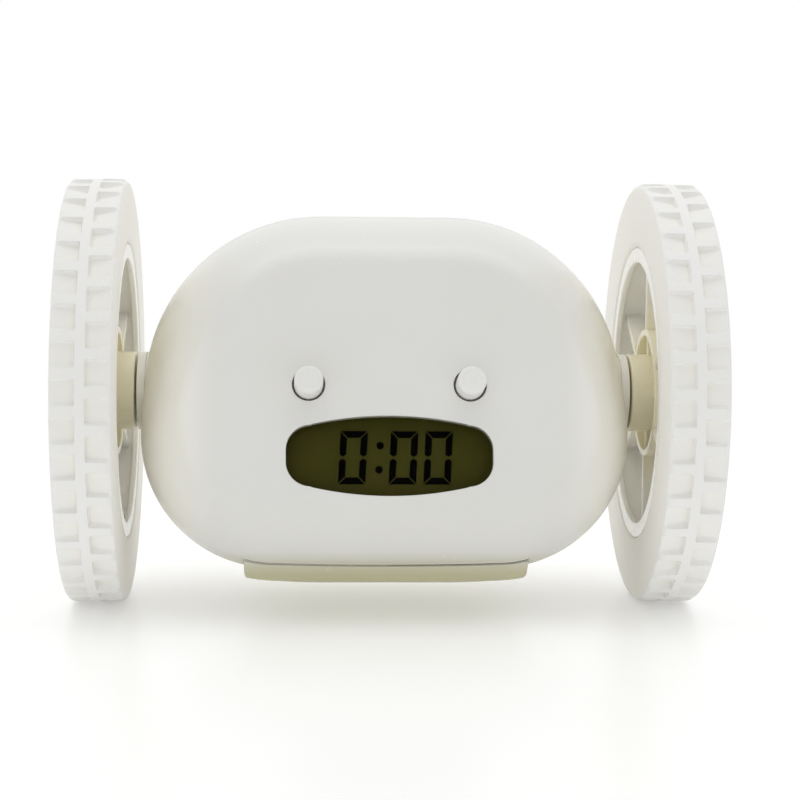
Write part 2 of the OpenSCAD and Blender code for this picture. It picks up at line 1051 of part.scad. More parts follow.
module gearbox_left() {
    color("gray")
        side(-1)
            gearbox_form();
}

module gearbox_right() {
    color("gray")
        gearbox_form();
}

module gearbox_lid_form() {
    difference() {
        union() {
            slab_x(box_out_x, lid_out_x) {
                box_outline(box_wall, false);
                translate([double_y, double_z])
                    circle(r = gear_module * double_small_teeth / 2 + 1 + box_wall);
            }
            for (p = lug_spots)
                rod_x(box_out_x, lid_out_x, lug_radius, p[0], p[1]);
            rod_x(box_out_x, lid_out_x + 1.5, 3.4, 0, 0);
        }
        rod_x(box_out_x - 1, lid_out_x + 3, axle_radius + run_gap, 0, 0);
        rod_x(box_out_x - 1, lid_out_x + 3, 0.8 + 0.01, double_y, double_z);
        for (p = lug_spots)
            rod_x(box_out_x - 1, lid_out_x + 1, 0.95, p[0], p[1]);
    }
}

module gearbox_lid_left() {
    color("gray")
        side(-1)
            gearbox_lid_form();
}

module gearbox_lid_right() {
    color("gray")
        gearbox_lid_form();
}

// ---------- wheels ----------

module axle_form() {
    difference() {
        rod_x(box_in_x + 0.2, web_in_x + 0.4, axle_radius);
        rod_x(web_in_x - screw_deep - 0.5, web_in_x + 1, 0.8 + seat_gap);
    }
}

module axle_left() {
    color("silver")
        side(-1)
            axle_form();
}

module axle_right() {
    color("silver")
        axle_form();
}

module collar_form() {
    difference() {
        union() {
            rod_x(collar_seat_x, collar_out_x, boss_radius);
            rod_x(boss_in_x + 0.4, collar_seat_x + e, 6 - seat_gap);
        }
        rod_x(boss_in_x - 1, collar_out_x + 1, axle_radius + run_gap);
    }
}

module collar_left() {
    color("white")
        side(-1)
            collar_form();
}

module collar_right() {
    color("white")
        collar_form();
}

module hub_form() {
    lip = 3.2;
    difference() {
        union() {
            at_axle()
                rotate([0, 90, 0])
                    rotate_extrude() {
                        // boss and its core
                        translate([axle_radius, hub_in_x])
                            square([boss_radius - axle_radius, web_in_x - hub_in_x + e]);
                        // web
                        translate([3, web_in_x])
                            square([rim_radius - 4, web_out_x - web_in_x]);
                        translate([axle_radius, web_in_x])
                            square([2, 0.6]);
                        // ring
                        translate([ring_radius - 0.7, web_in_x - 4])
                            square([1.4, 4.5]);
                        // rim with its lip
                        translate([rim_radius - 1.7, tyre_in_x + 0.2])
                            square([1.65, tyre_width - 1]);
                        translate([rim_radius - lip, tyre_in_x + 0.2])
                            square([lip - 0.1, 1.2]);
                        translate([rim_radius - lip, tyre_out_x - 2])
                            square([lip - 0.1, 1.2]);
                        // outside ring
                        translate([ring_radius - 2.2, web_out_x - e])
                            square([1.2, 1]);
                    }
            // inside ribs and spokes
            for (k = [0 : 3])
                at_axle()
                    rotate([90 * k, 0, 0])
                        translate([web_in_x - 3.4, -0.6, boss_radius - 0.5])
                            cube([3.5, 1.2, ring_radius - boss_radius]);
            for (k = [0 : spoke_count - 1])
                at_axle()
                    rotate([360 / spoke_count * k, 0, 0]) {
                        translate([web_in_x - spoke_tall, -0.7, ring_radius])
                            cube([spoke_tall + 0.1, 1.4, rim_radius - ring_radius - 1]);
                        translate([web_out_x - 0.1, -1.4, ring_radius - 1.2])
                            cube([1.1, 2.8, rim_radius - ring_radius - 0.2]);
                    }
        }
        // screw head pocket and its shank
        rod_x(web_out_x - 0.9, web_out_x + 2, 3.1);
    }
}

module hub_left() {
    color("ivory")
        side(-1)
            hub_form();
}

module hub_right() {
    color("ivory")
        hub_form();
}

// tyre section with round shoulders
module tyre_section() {
    high = wheel_radius - rim_radius;
    translate([rim_radius, -tyre_width / 2])
        square([high - shoulder, tyre_width]);
    translate([rim_radius, shoulder - tyre_width / 2])
        square([high, tyre_width - 2 * shoulder]);
    for (s = [-1, 1])
        translate([wheel_radius - shoulder, s * (tyre_width / 2 - shoulder)])
            circle(r = shoulder);
}

// cut beside the middle rib, its floor rising until it runs out over the shoulder
module tread_pocket(row) {
    inner = rib_width / 2;
    outer = tyre_width / 2 + 1;
    rotate([90, 0, 0])
        linear_extrude(height = pocket_length, center = true)
            polygon([[row * inner, -tread_depth], [row * outer, (outer - inner) * pocket_slope - tread_depth],
                [row * outer, 5], [row * inner, 5]]);
}

module tyre_form() {
    difference() {
        translate([tyre_centre_x, 0, axle_z])
            rotate([0, 90, 0])
                rotate_extrude()
                    tyre_section();
        for (row = [-1, 1])
            for (k = [0 : tread_pockets - 1])
                at_axle()
                    rotate([pitch_angle * (k + (row > 0 ? 0.5 : 0)), 0, 0])
                        translate([tyre_centre_x, 0, wheel_radius])
                            tread_pocket(row);
    }
}

module tyre_left() {
    color("white")
        side(-1)
            tyre_form();
}

module tyre_right() {
    color("white")
        tyre_form();
}

module hub_cap_form() {
    at_axle()
        rotate([0, 90, 0])
            rotate_extrude() {
                translate([0, web_out_x + 1.1])
                    square([7.6, 1]);
                translate([6.6, web_out_x + seat_gap / 5])
                    square([1, 1.2]);
                translate([0, web_out_x + 2.1 - e])
                    square([6.4, 0.5]);
            }
}

module hub_cap_left() {
    color("ivory")
        side(-1)
            hub_cap_form();
}

module hub_cap_right() {
    color("ivory")
        hub_cap_form();
}

module wheel_screw_form() {
    difference() {
        union() {
            rod_x(web_in_x + 0.6, web_out_x + 0.5, 2.8);
            rod_x(web_in_x - screw_deep, web_in_x + 0.6 + e, 0.8);
        }
        at_axle()
            translate([web_out_x + 0.3, 0, 0])
                for (a = [0, 90])
                    rotate([a, 0, 0])
                        cube([1, 0.6, 3.2], center = true);
    }
}

module wheel_screw_left() {
    color("silver")
        side(-1)
            wheel_screw_form();
}

module wheel_screw_right() {
    color("silver")
        wheel_screw_form();
}

// ---------- screws and leads ----------

// a cross-head screw pointing down, head seated at z = 0
module screw(length, r, head) {
    difference() {
        union() {
            translate([0, 0, -length])
                cylinder(r = r, h = length + e);
            cylinder(r = head, h = 1.3);
        }
        for (a = [0, 90])
            rotate(a)
                translate([0, 0, 1.2])
                    cube([head * 1.2, 0.45, 1], center = true);
    }
}

module body_screws() {
    color("silver")
        for (b = body_screw_spots)
            translate([b[0], b[2], axle_z + b[1]])
                rotate([-90, 0, 0])
                    screw(b[2] - parting_y + 7.5, screw_radius, 1.9);
}

module board_screws() {
    color("silver") {
        for (sx = [-1, 1], v = [post_top, post_low])
            translate([sx * post_x, 0, 0])
                on_face(v, board_back)
                    rotate([180, 0, 0])
                        screw(board_thick + 3.5, screw_radius, 1.9);
        for (sx = [-1, 1], z = [11.2, -15.6])
            translate([6.4 * sx, rear_board_y, axle_z + z])
                rotate([90, 0, 0])
                    screw(board_thick + 2.6, 0.8, 1.5);
    }
}

module gearbox_screws() {
    color("silver")
        for (s = [-1, 1])
            side(s)
                for (p = lug_spots)
                    at_axle(p[0], p[1])
                        along_x(lid_out_x)
                            screw(4.6, 0.8, 1.5);
}

// a place behind the main board, v up the face and the given distance from the board's back
function behind_board(x, v, away) = [x,
    -face_forward + v * sin(face_tilt) - (board_back - away) * cos(face_tilt),
    v * cos(face_tilt) + (board_back - away) * sin(face_tilt)];

// the last two points of a lead, which meets the back of the main board squarely
function board_end(x, v) = [behind_board(x, v, 2), behind_board(x, v, lead_gap)];

motor_end = box_in_x - motor_length;

module motor_leads() {
    color("red")
        for (s = [-1, 1], d = [0, 1])
            lead(concat([
                [s * (motor_end - lead_gap), motor_y - 5, motor_z + 4 - 8 * d],
                [s * (motor_end - 2 - d), motor_y - 5, motor_z + 4 - 8 * d],
                [s * (motor_end - 2 - d), 8, 6 - 3 * d],
                [s * (motor_end - 2 - d), -10, 6 - 3 * d]
            ], board_end(s * (motor_end - 2 - d), 8 - 3 * d)), 0.5);
}

module battery_leads() {
    color("black")
        for (s = [-1, 1])
            lead(concat([
                [s * 18, -6, tray_top + lead_gap],
                [s * 18, -6, tray_top + 3],
                [s * 18, -14, -12]
            ], board_end(s * 18, -11)), 0.6);
}

module sounder_leads() {
    color("red")
        for (s = [-1, 1])
            lead(concat([
                for (back = [lead_gap, 2])
                    [s * 4, (sound_front - 7 - back) * cos(sound_angle),
                        (sound_front - 7 - back) * sin(sound_angle)],
                [s * 4, 8, 16],
                [s * 4, -12, 14]
            ], board_end(s * 4, 9.5)), 0.5);
}

module switch_leads() {
    color("gray")
        for (k = [-1, 0, 1])
            lead(concat([
                [k * 1.3, rear_board_y - lead_gap, -7],
                [k * 1.3, rear_board_y - 2, -7],
                [k * 1.3, 12, -9],
                [k * 1.3, -14, -12]
            ], board_end(k * 1.3, -15)), 0.5);
}

front_shell();
rear_shell();
battery_cover();
display_lens();
lcd_panel();
lcd_segments();
lcd_holder();
contact_strip();
main_board();
board_parts();
front_switches();
time_button();
alarm_button();
rear_board();
rear_switches();
hour_button();
minute_button();
mode_switch();
mode_slider();
sounder();
battery_tray();
cells();
balance_weight();
battery_contacts();
motor_left();
motor_right();
pinion_left();
pinion_right();
double_gear_left();
double_gear_right();
gear_pin_left();
gear_pin_right();
wheel_gear_left();
wheel_gear_right();
gearbox_left();
gearbox_right();
gearbox_lid_left();
gearbox_lid_right();
axle_left();
axle_right();
collar_left();
collar_right();
hub_left();
hub_right();
tyre_left();
tyre_right();
hub_cap_left();
hub_cap_right();
wheel_screw_left();
wheel_screw_right();
body_screws();
board_screws();
gearbox_screws();
motor_leads();
battery_leads();
sounder_leads();
switch_leads();
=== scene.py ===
"""Looks of the runaway alarm clock: moulded body, wheels, display and drive, dressed on the CAD frame."""

import json
import logging
import math
from dataclasses import dataclass, field
from enum import Enum
from typing import Callable, ClassVar, Iterable, Optional, Sequence, Union

import bmesh
import bpy
import numpy as np
from mathutils import Matrix, Vector


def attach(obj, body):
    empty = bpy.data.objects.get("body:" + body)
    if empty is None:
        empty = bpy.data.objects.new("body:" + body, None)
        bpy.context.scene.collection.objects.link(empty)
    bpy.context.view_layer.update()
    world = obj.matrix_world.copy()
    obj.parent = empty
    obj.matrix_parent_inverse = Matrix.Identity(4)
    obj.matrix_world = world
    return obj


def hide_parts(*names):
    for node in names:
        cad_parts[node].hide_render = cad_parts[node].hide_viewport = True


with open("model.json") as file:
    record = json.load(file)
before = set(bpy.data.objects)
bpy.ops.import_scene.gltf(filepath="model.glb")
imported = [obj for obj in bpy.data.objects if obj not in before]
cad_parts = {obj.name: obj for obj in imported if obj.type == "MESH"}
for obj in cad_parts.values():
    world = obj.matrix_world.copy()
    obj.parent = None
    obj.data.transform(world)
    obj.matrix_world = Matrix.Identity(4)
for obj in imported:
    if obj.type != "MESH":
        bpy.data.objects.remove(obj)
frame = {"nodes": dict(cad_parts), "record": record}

LOG = logging.getLogger("clock")
MM = 0.001
AXLE = 45.0
Triple = tuple[float, float, float]
Array = np.ndarray
Placer = Callable[[Array, Array], Array]
Value = Union["Sock", float, int, tuple]
WHITE: Triple = (1.0, 1.0, 1.0)
LIFT = np.array([0.0, 0.0, AXLE])


# ---------- shader maths ----------


class Sock:
    """One output socket, with operators that add Math nodes behind it."""

    def __init__(self, graph: "Graph", socket: bpy.types.NodeSocket) -> None:
        """Wraps a socket of a graph."""
        self.graph = graph
        self.socket = socket

    def _math(self, kind: str, *args: Value, clamp: bool = False) -> "Sock":
        """Adds one Math node over the given values."""
        return self.graph.node(
            "ShaderNodeMath", {"operation": kind, "use_clamp": clamp}, dict(enumerate(args))
        )

    def __add__(self, other: Value) -> "Sock":
        """Sum."""
        return self._math("ADD", self, other)

    __radd__ = __add__

    def __sub__(self, other: Value) -> "Sock":
        """Difference."""
        return self._math("SUBTRACT", self, other)

    def __rsub__(self, other: Value) -> "Sock":
        """Difference the other way round."""
        return self._math("SUBTRACT", other, self)

    def __mul__(self, other: Value) -> "Sock":
        """Product."""
        return self._math("MULTIPLY", self, other)

    __rmul__ = __mul__

    def __abs__(self) -> "Sock":
        """Size without sign."""
        return self._math("ABSOLUTE", self)

    def __gt__(self, other: Value) -> "Sock":
        """1 where this is greater than the other."""
        return self._math("GREATER_THAN", self, other)

    def __lt__(self, other: Value) -> "Sock":
        """1 where this is less than the other."""
        return self._math("LESS_THAN", self, other)

    def __mod__(self, other: Value) -> "Sock":
        """Floored remainder."""
        return self._math("FLOORED_MODULO", self, other)

    def __rmod__(self, other: Value) -> "Sock":
        """Floored remainder the other way round."""
        return self._math("FLOORED_MODULO", other, self)

    def clamp(self) -> "Sock":
        """Value held between 0 and 1."""
        return self._math("ADD", self, 0.0, clamp=True)

    def high(self, other: Value) -> "Sock":
        """Larger of the two."""
        return self._math("MAXIMUM", self, other)

    def ramp(self, start: float, end: float) -> "Sock":
        """Smooth step from 0 at start to 1 at end.

        Args:
            start: value that gives 0.
            end: value that gives 1.

        Returns:
            The stepped value.
        """
        return self.graph.node(
            "ShaderNodeMapRange",
            {"interpolation_type": "SMOOTHSTEP"},
            {"Value": self, "From Min": start, "From Max": end},
        )


class Graph:
    """The node tree of a material or world, filled through one node method."""

    def __init__(self, owner: Union[bpy.types.Material, bpy.types.World]) -> None:
        """Takes over the owner's node tree and empties it."""
        owner.use_nodes = True
        self.owner = owner
        self.tree = owner.node_tree
        self.tree.nodes.clear()
        self._points: Optional[Sock] = None

    @classmethod
    def material(cls, name: str) -> "Graph":
        """Graph of a new material of that name."""
        return cls(bpy.data.materials.new(name))

    def node(
        self,
        kind: str,
        settings: Optional[dict] = None,
        inputs: Optional[dict] = None,
        out: Union[int, str] = 0,
    ) -> Sock:
        """Adds a node.

        Args:
            kind: Blender's node type name.
            settings: node properties, set first.
            inputs: socket index or name to a number, tuple or Sock.
            out: output wanted.

        Returns:
            The wanted output as a Sock.
        """
        made = self.tree.nodes.new(kind)
        for key, value in (settings or {}).items():
            setattr(made, key, value)
        for key, value in (inputs or {}).items():
            socket = made.inputs[key]
            if isinstance(value, Sock):
                self.tree.links.new(value.socket, socket)
            elif isinstance(value, tuple) and len(value) == 3 and socket.type == "RGBA":
                socket.default_value = (*value, 1.0)
            else:
                socket.default_value = value
        return Sock(self, made.outputs[out] if len(made.outputs) else None)

    @property
    def points(self) -> Sock:
        """Place on the piece at rest, in millimetres."""
        if self._points is None:
            raw = self.node("ShaderNodeTexCoord", out="Object")
            self._points = self.vector("SCALE", raw, Scale=1 / MM)
        return self._points

    def vector(self, kind: str, *args: Value, out: Union[int, str] = 0, **named: Value) -> Sock:
        """Adds one Vector Math node."""
        inputs = {**dict(enumerate(args)), **named}
        return self.node("ShaderNodeVectorMath", {"operation": kind}, inputs, out)

    def axes(self, vector: Sock) -> tuple[Sock, Sock, Sock]:
        """Splits a vector into its three numbers."""
        first = self.node("ShaderNodeSeparateXYZ", None, {0: vector})
        outs = first.socket.node.outputs
        return first, Sock(self, outs[1]), Sock(self, outs[2])

    def mix(self, factor: Value, one: Value, two: Value) -> Sock:
        """Mixes two colours.

        Args:
            factor: 0 keeps the first, 1 gives the second.
            one: first colour.
            two: second colour.

        Returns:
            The mixed colour.
        """
        return self.node("ShaderNodeMix", {"data_type": "RGBA"}, {0: factor, 6: one, 7: two}, 2)

    def blend(self, factor: Value, one: Value, two: Value) -> Sock:
        """Mixes two numbers in the same way."""
        return self.node("ShaderNodeMix", {"data_type": "FLOAT"}, {0: factor, 2: one, 3: two})

    def ray(self, kind: str) -> Sock:
        """1 for light paths of that kind."""
        return self.node("ShaderNodeLightPath", out=f"Is {kind} Ray")

    def cells(self, per_mm: float, out: str = "Distance", loose: float = 1.0, **settings: str) -> Sock:
        """Adds a cell texture.

        Args:
            per_mm: cells per millimetre.
            out: output wanted.
            loose: how far the cells' middles stray from a grid.
            settings: node properties.

        Returns:
            The wanted output.
        """
        inputs = {"Vector": self.points, "Scale": per_mm, "Randomness": loose}
        return self.node("ShaderNodeTexVoronoi", settings, inputs, out)

    def noise(
        self, per_mm: float, detail: float = 2.0, rough: float = 0.5, at: Optional[Sock] = None
    ) -> Sock:
        """Fractal noise, roughly 0.3 to 0.7.

        Args:
            per_mm: bumps per millimetre.
            detail: octaves.
            rough: weight of the finer octaves.
            at: place to read, the piece's own by default.

        Returns:
            The noise value.
        """
        inputs = {"Vector": at or self.points, "Scale": per_mm, "Detail": detail, "Roughness": rough}
        return self.node("ShaderNodeTexNoise", None, inputs)

    def shader(self, kind: str = "ShaderNodeBsdfPrincipled", **inputs: Value) -> Sock:
        """Adds a shader; underscores in socket names stand for spaces."""
        return self.node(kind, None, {k.replace("_", " "): v for k, v in inputs.items()})

    def normal(self, round_mm: float, height: Optional[Value] = None, depth_mm: float = 0.02) -> Sock:
        """Normal with softened edges and an optional bump.

        Args:
            round_mm: radius that hard edges are softened to.
            height: bump height from 0 to 1.
            depth_mm: real depth of a full height step.

        Returns:
            The normal.
        """
        soft = self.node("ShaderNodeBevel", {"samples": 6}, {"Radius": round_mm * MM})
        if height is None:
            return soft
        inputs = {"Height": height, "Normal": soft, "Distance": depth_mm * MM, "Strength": 1.0}
        return self.node("ShaderNodeBump", None, inputs)

    def finish(self, surface: Sock) -> bpy.types.Material:
        """Links the surface and hands the material over."""
        self.node("ShaderNodeOutputMaterial", None, {"Surface": surface})
        return self.owner


# ---------- finishes ----------


class Fade(Enum):
    """Where a moulding gets painted light and shade: lighter ends and shaded underside of the body, warm
    painted light and shade on the hub's inner face, warm painted light between the tread's bars.
    """

    NOWHERE = "nowhere"
    ENDS = "towards the body's ends and underneath"
    AXLE = "towards the axle, on the side that faces the body"
    TREAD = "between the tread's bars"


@dataclass(frozen=True)
class Finish:
    """A surface that makes its own material."""

    name: str

    def surface(self, g: Graph) -> Sock:
        """Shader of the finish."""
        raise NotImplementedError

    def build(self) -> bpy.types.Material:
        """Makes the material."""
        g = Graph.material(self.name)
        return g.finish(self.surface(g))


@dataclass(frozen=True)
class Moulded(Finish):
    """Moulded plastic or rubber with flow marks, fine grain, dust and scuffs, and painted light and shade
    where set.
    """

    colour: Triple
    shade: Triple
    rough: float = 0.3
    rough_spread: float = 0.1
    grain_mm: float = 0.5
    grain_depth: float = 0.006
    edge: float = 0.35
    scatter: float = 0.0
    specular: float = 0.5
    wear: float = 0.0
    # painted light and shade: where it goes, its lighter tint, its darker tint and the ranges in mm they ramp
    # over
    fade: Fade = Fade.NOWHERE
    deep: Triple = WHITE
    core: Triple = WHITE
    fade_mm: tuple[float, float] = (0.0, 1.0)
    core_mm: tuple[float, float] = (0.0, 1.0)
    inner_mm: tuple[float, float] = (61.9, 60.7)

    def faded(self, g: Graph, tint: Sock) -> Sock:
        """The tint with painted light and shade mixed in by place.

        Args:
            g: the material's graph.
            tint: the colour in full light.

        Returns:
            The colour with the painted light and shade mixed in.
        """
        if self.fade is Fade.NOWHERE:
            return tint
        # painted light towards the body's ends, painted shade low down underneath
        if self.fade is Fade.ENDS:
            x, _, z = g.axes(g.points)
            warm = g.mix(abs(x).ramp(*self.fade_mm), tint, self.deep)
            return g.mix(z.ramp(*self.core_mm), warm, self.core)
        flat = g.vector("MULTIPLY", g.points, (0.0, 1.0, 1.0))
        away = g.vector("DISTANCE", flat, (0.0, 0.0, AXLE), out="Value")
        # warm painted light in the tyre's pockets and on its sides
        if self.fade is Fade.TREAD:
            return g.mix(away.ramp(*self.fade_mm), tint, self.deep)
        # warm painted light over the hub's inner face, deeper painted shade near the axle
        inner = abs(g.axes(g.points)[0]).ramp(*self.inner_mm)
        warm = g.mix(away.ramp(*self.fade_mm) * inner, tint, self.deep)
        return g.mix(away.ramp(*self.core_mm) * inner, warm, self.core)

    def surface(self, g: Graph) -> Sock:
        """Shader of the finish."""
        broad = g.noise(0.035, 3.0)
        flow = g.noise(0.25, 4.0, 0.6)
        grain = g.noise(1 / self.grain_mm, 2.0)
        tint = g.mix(broad.ramp(0.35, 0.68), self.colour, self.shade)
        dust = g.cells(0.9).ramp(0.055, 0.03) * flow.ramp(0.5, 0.62)
        tint = g.mix(dust * 0.05, tint, tuple(0.8 * c for c in self.shade))
        scuff = g.noise(1.6, 6.0, 0.7).ramp(0.62, 0.72) * flow.ramp(0.46, 0.6) * self.wear
        tint = g.mix(scuff * 0.35, tint, tuple(0.75 * c for c in self.shade))
        # painted light and shade by place
        tint = self.faded(g, tint)
        rough = flow * self.rough_spread + (self.rough - self.rough_spread / 2) + scuff * 0.15
        height = grain * 0.7 + flow * 0.3
        return g.shader(
            Base_Color=tint,
            Roughness=rough.clamp(),
            Normal=g.normal(self.edge, height, self.grain_depth),
            Specular_IOR_Level=self.specular,
            Subsurface_Weight=self.scatter,
            Subsurface_Scale=1.2 * MM,
        )


@dataclass(frozen=True)
class Metal(Finish):
    """Turned, drawn or plated metal with marks along one axis."""

    colour: Triple
    dark: Triple
    rough: float = 0.32
    along: Triple = (0.05, 1.0, 1.0)
    lines_mm: float = 0.08
    edge: float = 0.12

    def surface(self, g: Graph) -> Sock:
        """Shader of the finish."""
        stretched = g.vector("MULTIPLY", g.points, self.along)
        lines = g.noise(0.3 / self.lines_mm, 3.0, 0.6, stretched)
        stain = g.noise(0.22, 4.0, 0.6)
        spots = g.noise(1.5, 5.0, 0.65).ramp(0.6, 0.72)
        tint = g.mix(stain.ramp(0.4, 0.66) * 0.6 + spots * 0.2, self.colour, self.dark)
        rough = lines * 0.22 + (self.rough - 0.11) + spots * 0.12
        return g.shader(
            Base_Color=tint,
            Metallic=1.0,
            Roughness=rough.clamp(),
            Normal=g.normal(self.edge, lines, 0.004),
        )


@dataclass(frozen=True)
class Board(Finish):
    """Solder-masked circuit board with copper tracks and pads under the mask."""

    mask: Triple = (0.012, 0.13, 0.05)
    track: Triple = (0.03, 0.24, 0.09)
    pad: Triple = (0.62, 0.6, 0.55)

    def surface(self, g: Graph) -> Sock:
        """Shader of the finish."""
        x, y, z = g.axes(g.points)
        pick, other, _ = g.axes(g.cells(0.21, "Color", distance="CHEBYCHEV"))
        across = g.blend(pick > 0.5, x, z + y * 0.28)
        lane = abs(across % 0.9 - 0.45)
        tracks = lane.ramp(0.2, 0.16) * (other > 0.35)
        dots = g.cells(0.34, loose=0.35)
        pads = dots.ramp(0.2, 0.17)
        holes = dots.ramp(0.1, 0.08)
        tint = g.mix(tracks, self.mask, self.track)
        tint = g.mix(pads, tint, self.pad)
        # painted shade: near-black dots for the dark insides of via holes
        tint = g.mix(holes, tint, (0.01, 0.01, 0.01))
        weave = g.noise(2.5, 2.0)
        height = (tracks * 0.6).high(pads) + weave * 0.15 - holes
        return g.shader(
            Base_Color=tint,
            Metallic=(pads - holes).clamp() * 0.9,
            Roughness=(weave * 0.15 + 0.25 + pads * 0.1).clamp(),
            Normal=g.normal(0.08, height, 0.03),
        )


@dataclass(frozen=True)
class Sleeve(Finish):
    """Printed shrink sleeve of a cell: a plain coloured band and bare metal ends."""

    body: Triple = (0.035, 0.04, 0.045)
    band: Triple = (0.78, 0.4, 0.06)
    half_length: float = 21.8
    band_from: float = 11.0

    def surface(self, g: Graph) -> Sock:
        """Shader of the finish."""
        x, _, _ = g.axes(g.points)
        far = abs(x)
        ends = far.ramp(self.half_length - 0.9, self.half_length - 0.7)
        band = far.ramp(self.band_from, self.band_from + 0.1)
        scratch = g.noise(1.2, 5.0, 0.7, g.vector("MULTIPLY", g.points, (0.15, 1.0, 1.0)))
        tint = g.mix(band, self.body, self.band)
        tint = g.mix(scratch.ramp(0.62, 0.75) * 0.3, tint, (0.5, 0.5, 0.5))
        tint = g.mix(ends, tint, (0.72, 0.72, 0.7))
        return g.shader(
            Base_Color=tint,
            Metallic=ends.high(band * 0.6),
            Roughness=(scratch * 0.25 + 0.18).clamp(),
            Normal=g.normal(0.25, scratch, 0.006),
        )


@dataclass(frozen=True)
class Crystal(Finish):
    """Liquid-crystal panel: dark olive glass with faint cell lines and ghost glow."""

    colour: Triple = (0.066, 0.065, 0.0095)
    warm: Triple = (0.076, 0.069, 0.0115)

    def surface(self, g: Graph) -> Sock:
        """Shader of the finish."""
        broad = g.noise(0.06, 2.0)
        fine = g.noise(3.0, 2.0)
        x, _, z = g.axes(g.points)
        rows = abs((z % 0.3) - 0.15).ramp(0.14, 0.15)
        tint = g.mix(broad.ramp(0.35, 0.65), self.colour, self.warm)
        tint = g.mix((rows * 0.15 + fine * 0.12).clamp(), tint, tuple(1.3 * c for c in self.warm))
        return g.shader(
            Base_Color=tint,
            Roughness=(fine * 0.2 + 0.38).clamp(),
            Specular_IOR_Level=0.08,
            Normal=g.normal(0.2, fine, 0.002),
        )


@dataclass(frozen=True)
class Clear(Finish):
    """Clear moulded window: lets light straight through and mirrors at grazing angles."""

    tint: Triple = (0.95, 0.95, 0.9)
    gloss: float = 0.5
    shine: float = 0.3

    def surface(self, g: Graph) -> Sock:
        """Shader of the finish."""
        smear = g.noise(0.12, 3.0).ramp(0.42, 0.7)
        swirl = g.noise(0.8, 4.0, 0.6)
        normal = g.normal(0.3, swirl, 0.002)
        through = g.shader("ShaderNodeBsdfTransparent", Color=self.tint)
        shine = g.shader(
            Base_Color=(0.02, 0.02, 0.018),
            Roughness=(smear * 0.06 + 0.05 + swirl * 0.02).clamp(),
            Specular_IOR_Level=self.gloss,
            Normal=normal,
        )
        edge = g.node("ShaderNodeFresnel", None, {"IOR": 1.48, "Normal": normal})
        mirrored = (edge * self.shine + smear * 0.004).clamp()
        return g.node("ShaderNodeMixShader", None, {0: mirrored, 1: through, 2: shine})


# ---------- mesh making ----------


class Mesh:
    """Verts and faces gathered in millimetres, then turned into one scene piece."""

    def __init__(self) -> None:
        """Starts empty."""
        self.verts: list[Array] = []
        self.faces: list[list[int]] = []
        self.count = 0

    def add(self, verts: Array, faces: Iterable[Sequence[int]]) -> "Mesh":
        """Adds vertices and the faces between them.

        Args:
            verts: N by 3 places in millimetres.
            faces: vertex numbers counted from this batch's first.

        Returns:
            This mesh.
        """
        self.verts.append(np.asarray(verts, float).reshape(-1, 3))
        self.faces.extend([int(i) + self.count for i in face] for face in faces)
        self.count += len(self.verts[-1])
        return self

    def grid(self, points: Array, around: bool = False, flip: bool = False) -> "Mesh":
        """Adds a quad grid.

        Args:
            points: rows by columns by 3.
            around: joins the last column to the first.
            flip: turns the faces over.

        Returns:
            This mesh.
        """
        rows, cols = points.shape[:2]
        span = cols if around else cols - 1
        faces = []
        for i in range(rows - 1):
            for j in range(span):
                k = (j + 1) % cols
                quad = [i * cols + j, i * cols + k, (i + 1) * cols + k, (i + 1) * cols + j]
                faces.append(quad[::-1] if flip else quad)
        return self.add(points, faces)

    def hem(self, one: Array, two: Array) -> "Mesh":
        """Joins the four rims of two grids of the same size."""
        for rim in (np.s_[0], np.s_[-1], np.s_[:, 0], np.s_[:, -1]):
            self.grid(np.stack([one[rim], two[rim]]))
        return self

    def tube(self, rings: Array) -> "Mesh":
        """Adds a closed tube through rings of places, with both ends capped."""
        start, around = self.count, rings.shape[1]
        self.grid(rings, around=True)
        self.faces.append([start + i for i in range(around)][::-1])
        self.faces.append([self.count - around + i for i in range(around)])
        return self

    def turned(self, profile: Sequence[tuple[float, float]], place: Placer, steps: int = 96) -> "Mesh":
        """Adds a closed body of revolution.

        Args:
            profile: (radius, height) pairs from axis to axis, or a closed loop.
            place: maps (radius * direction, height) to places.
            steps: segments round.

        Returns:
            This mesh.
        """
        ring = circle(steps)
        return self.grid(np.array([place(ring * r, np.full(steps, h)) for r, h in profile]), around=True)

    def block(self, low: Triple, high: Triple) -> "Mesh":
        """Adds a box between two corners."""
        (a, b, c), (d, e, f) = low, high
        corners = [(x, y, z) for x in (a, d) for y in (b, e) for z in (c, f)]
        quads = [(0, 1, 3, 2), (4, 6, 7, 5), (0, 4, 5, 1), (2, 3, 7, 6), (0, 2, 6, 4), (1, 5, 7, 3)]
        return self.add(np.array(corners), quads)

    def data(self, name: str) -> bpy.types.Mesh:
        """Blender mesh in metres, with merged seams."""
        made = bpy.data.meshes.new(name)
        made.from_pydata((np.concatenate(self.verts) * MM).tolist(), [], self.faces)
        work = bmesh.new()
        work.from_mesh(made)
        bmesh.ops.remove_doubles(work, verts=work.verts, dist=1e-7)
        bmesh.ops.recalc_face_normals(work, faces=work.faces)
        work.to_mesh(made)
        work.free()
        return made


def circle(steps: int) -> Array:
    """Directions to evenly spaced points round a unit circle."""
    turn = np.linspace(0, 2 * math.pi, steps, endpoint=False)
    return np.stack([np.cos(turn), np.sin(turn)], -1)


def show(made: bpy.types.Object) -> bpy.types.Object:
    """Puts an object in the scene."""
    bpy.context.scene.collection.objects.link(made)
    return made


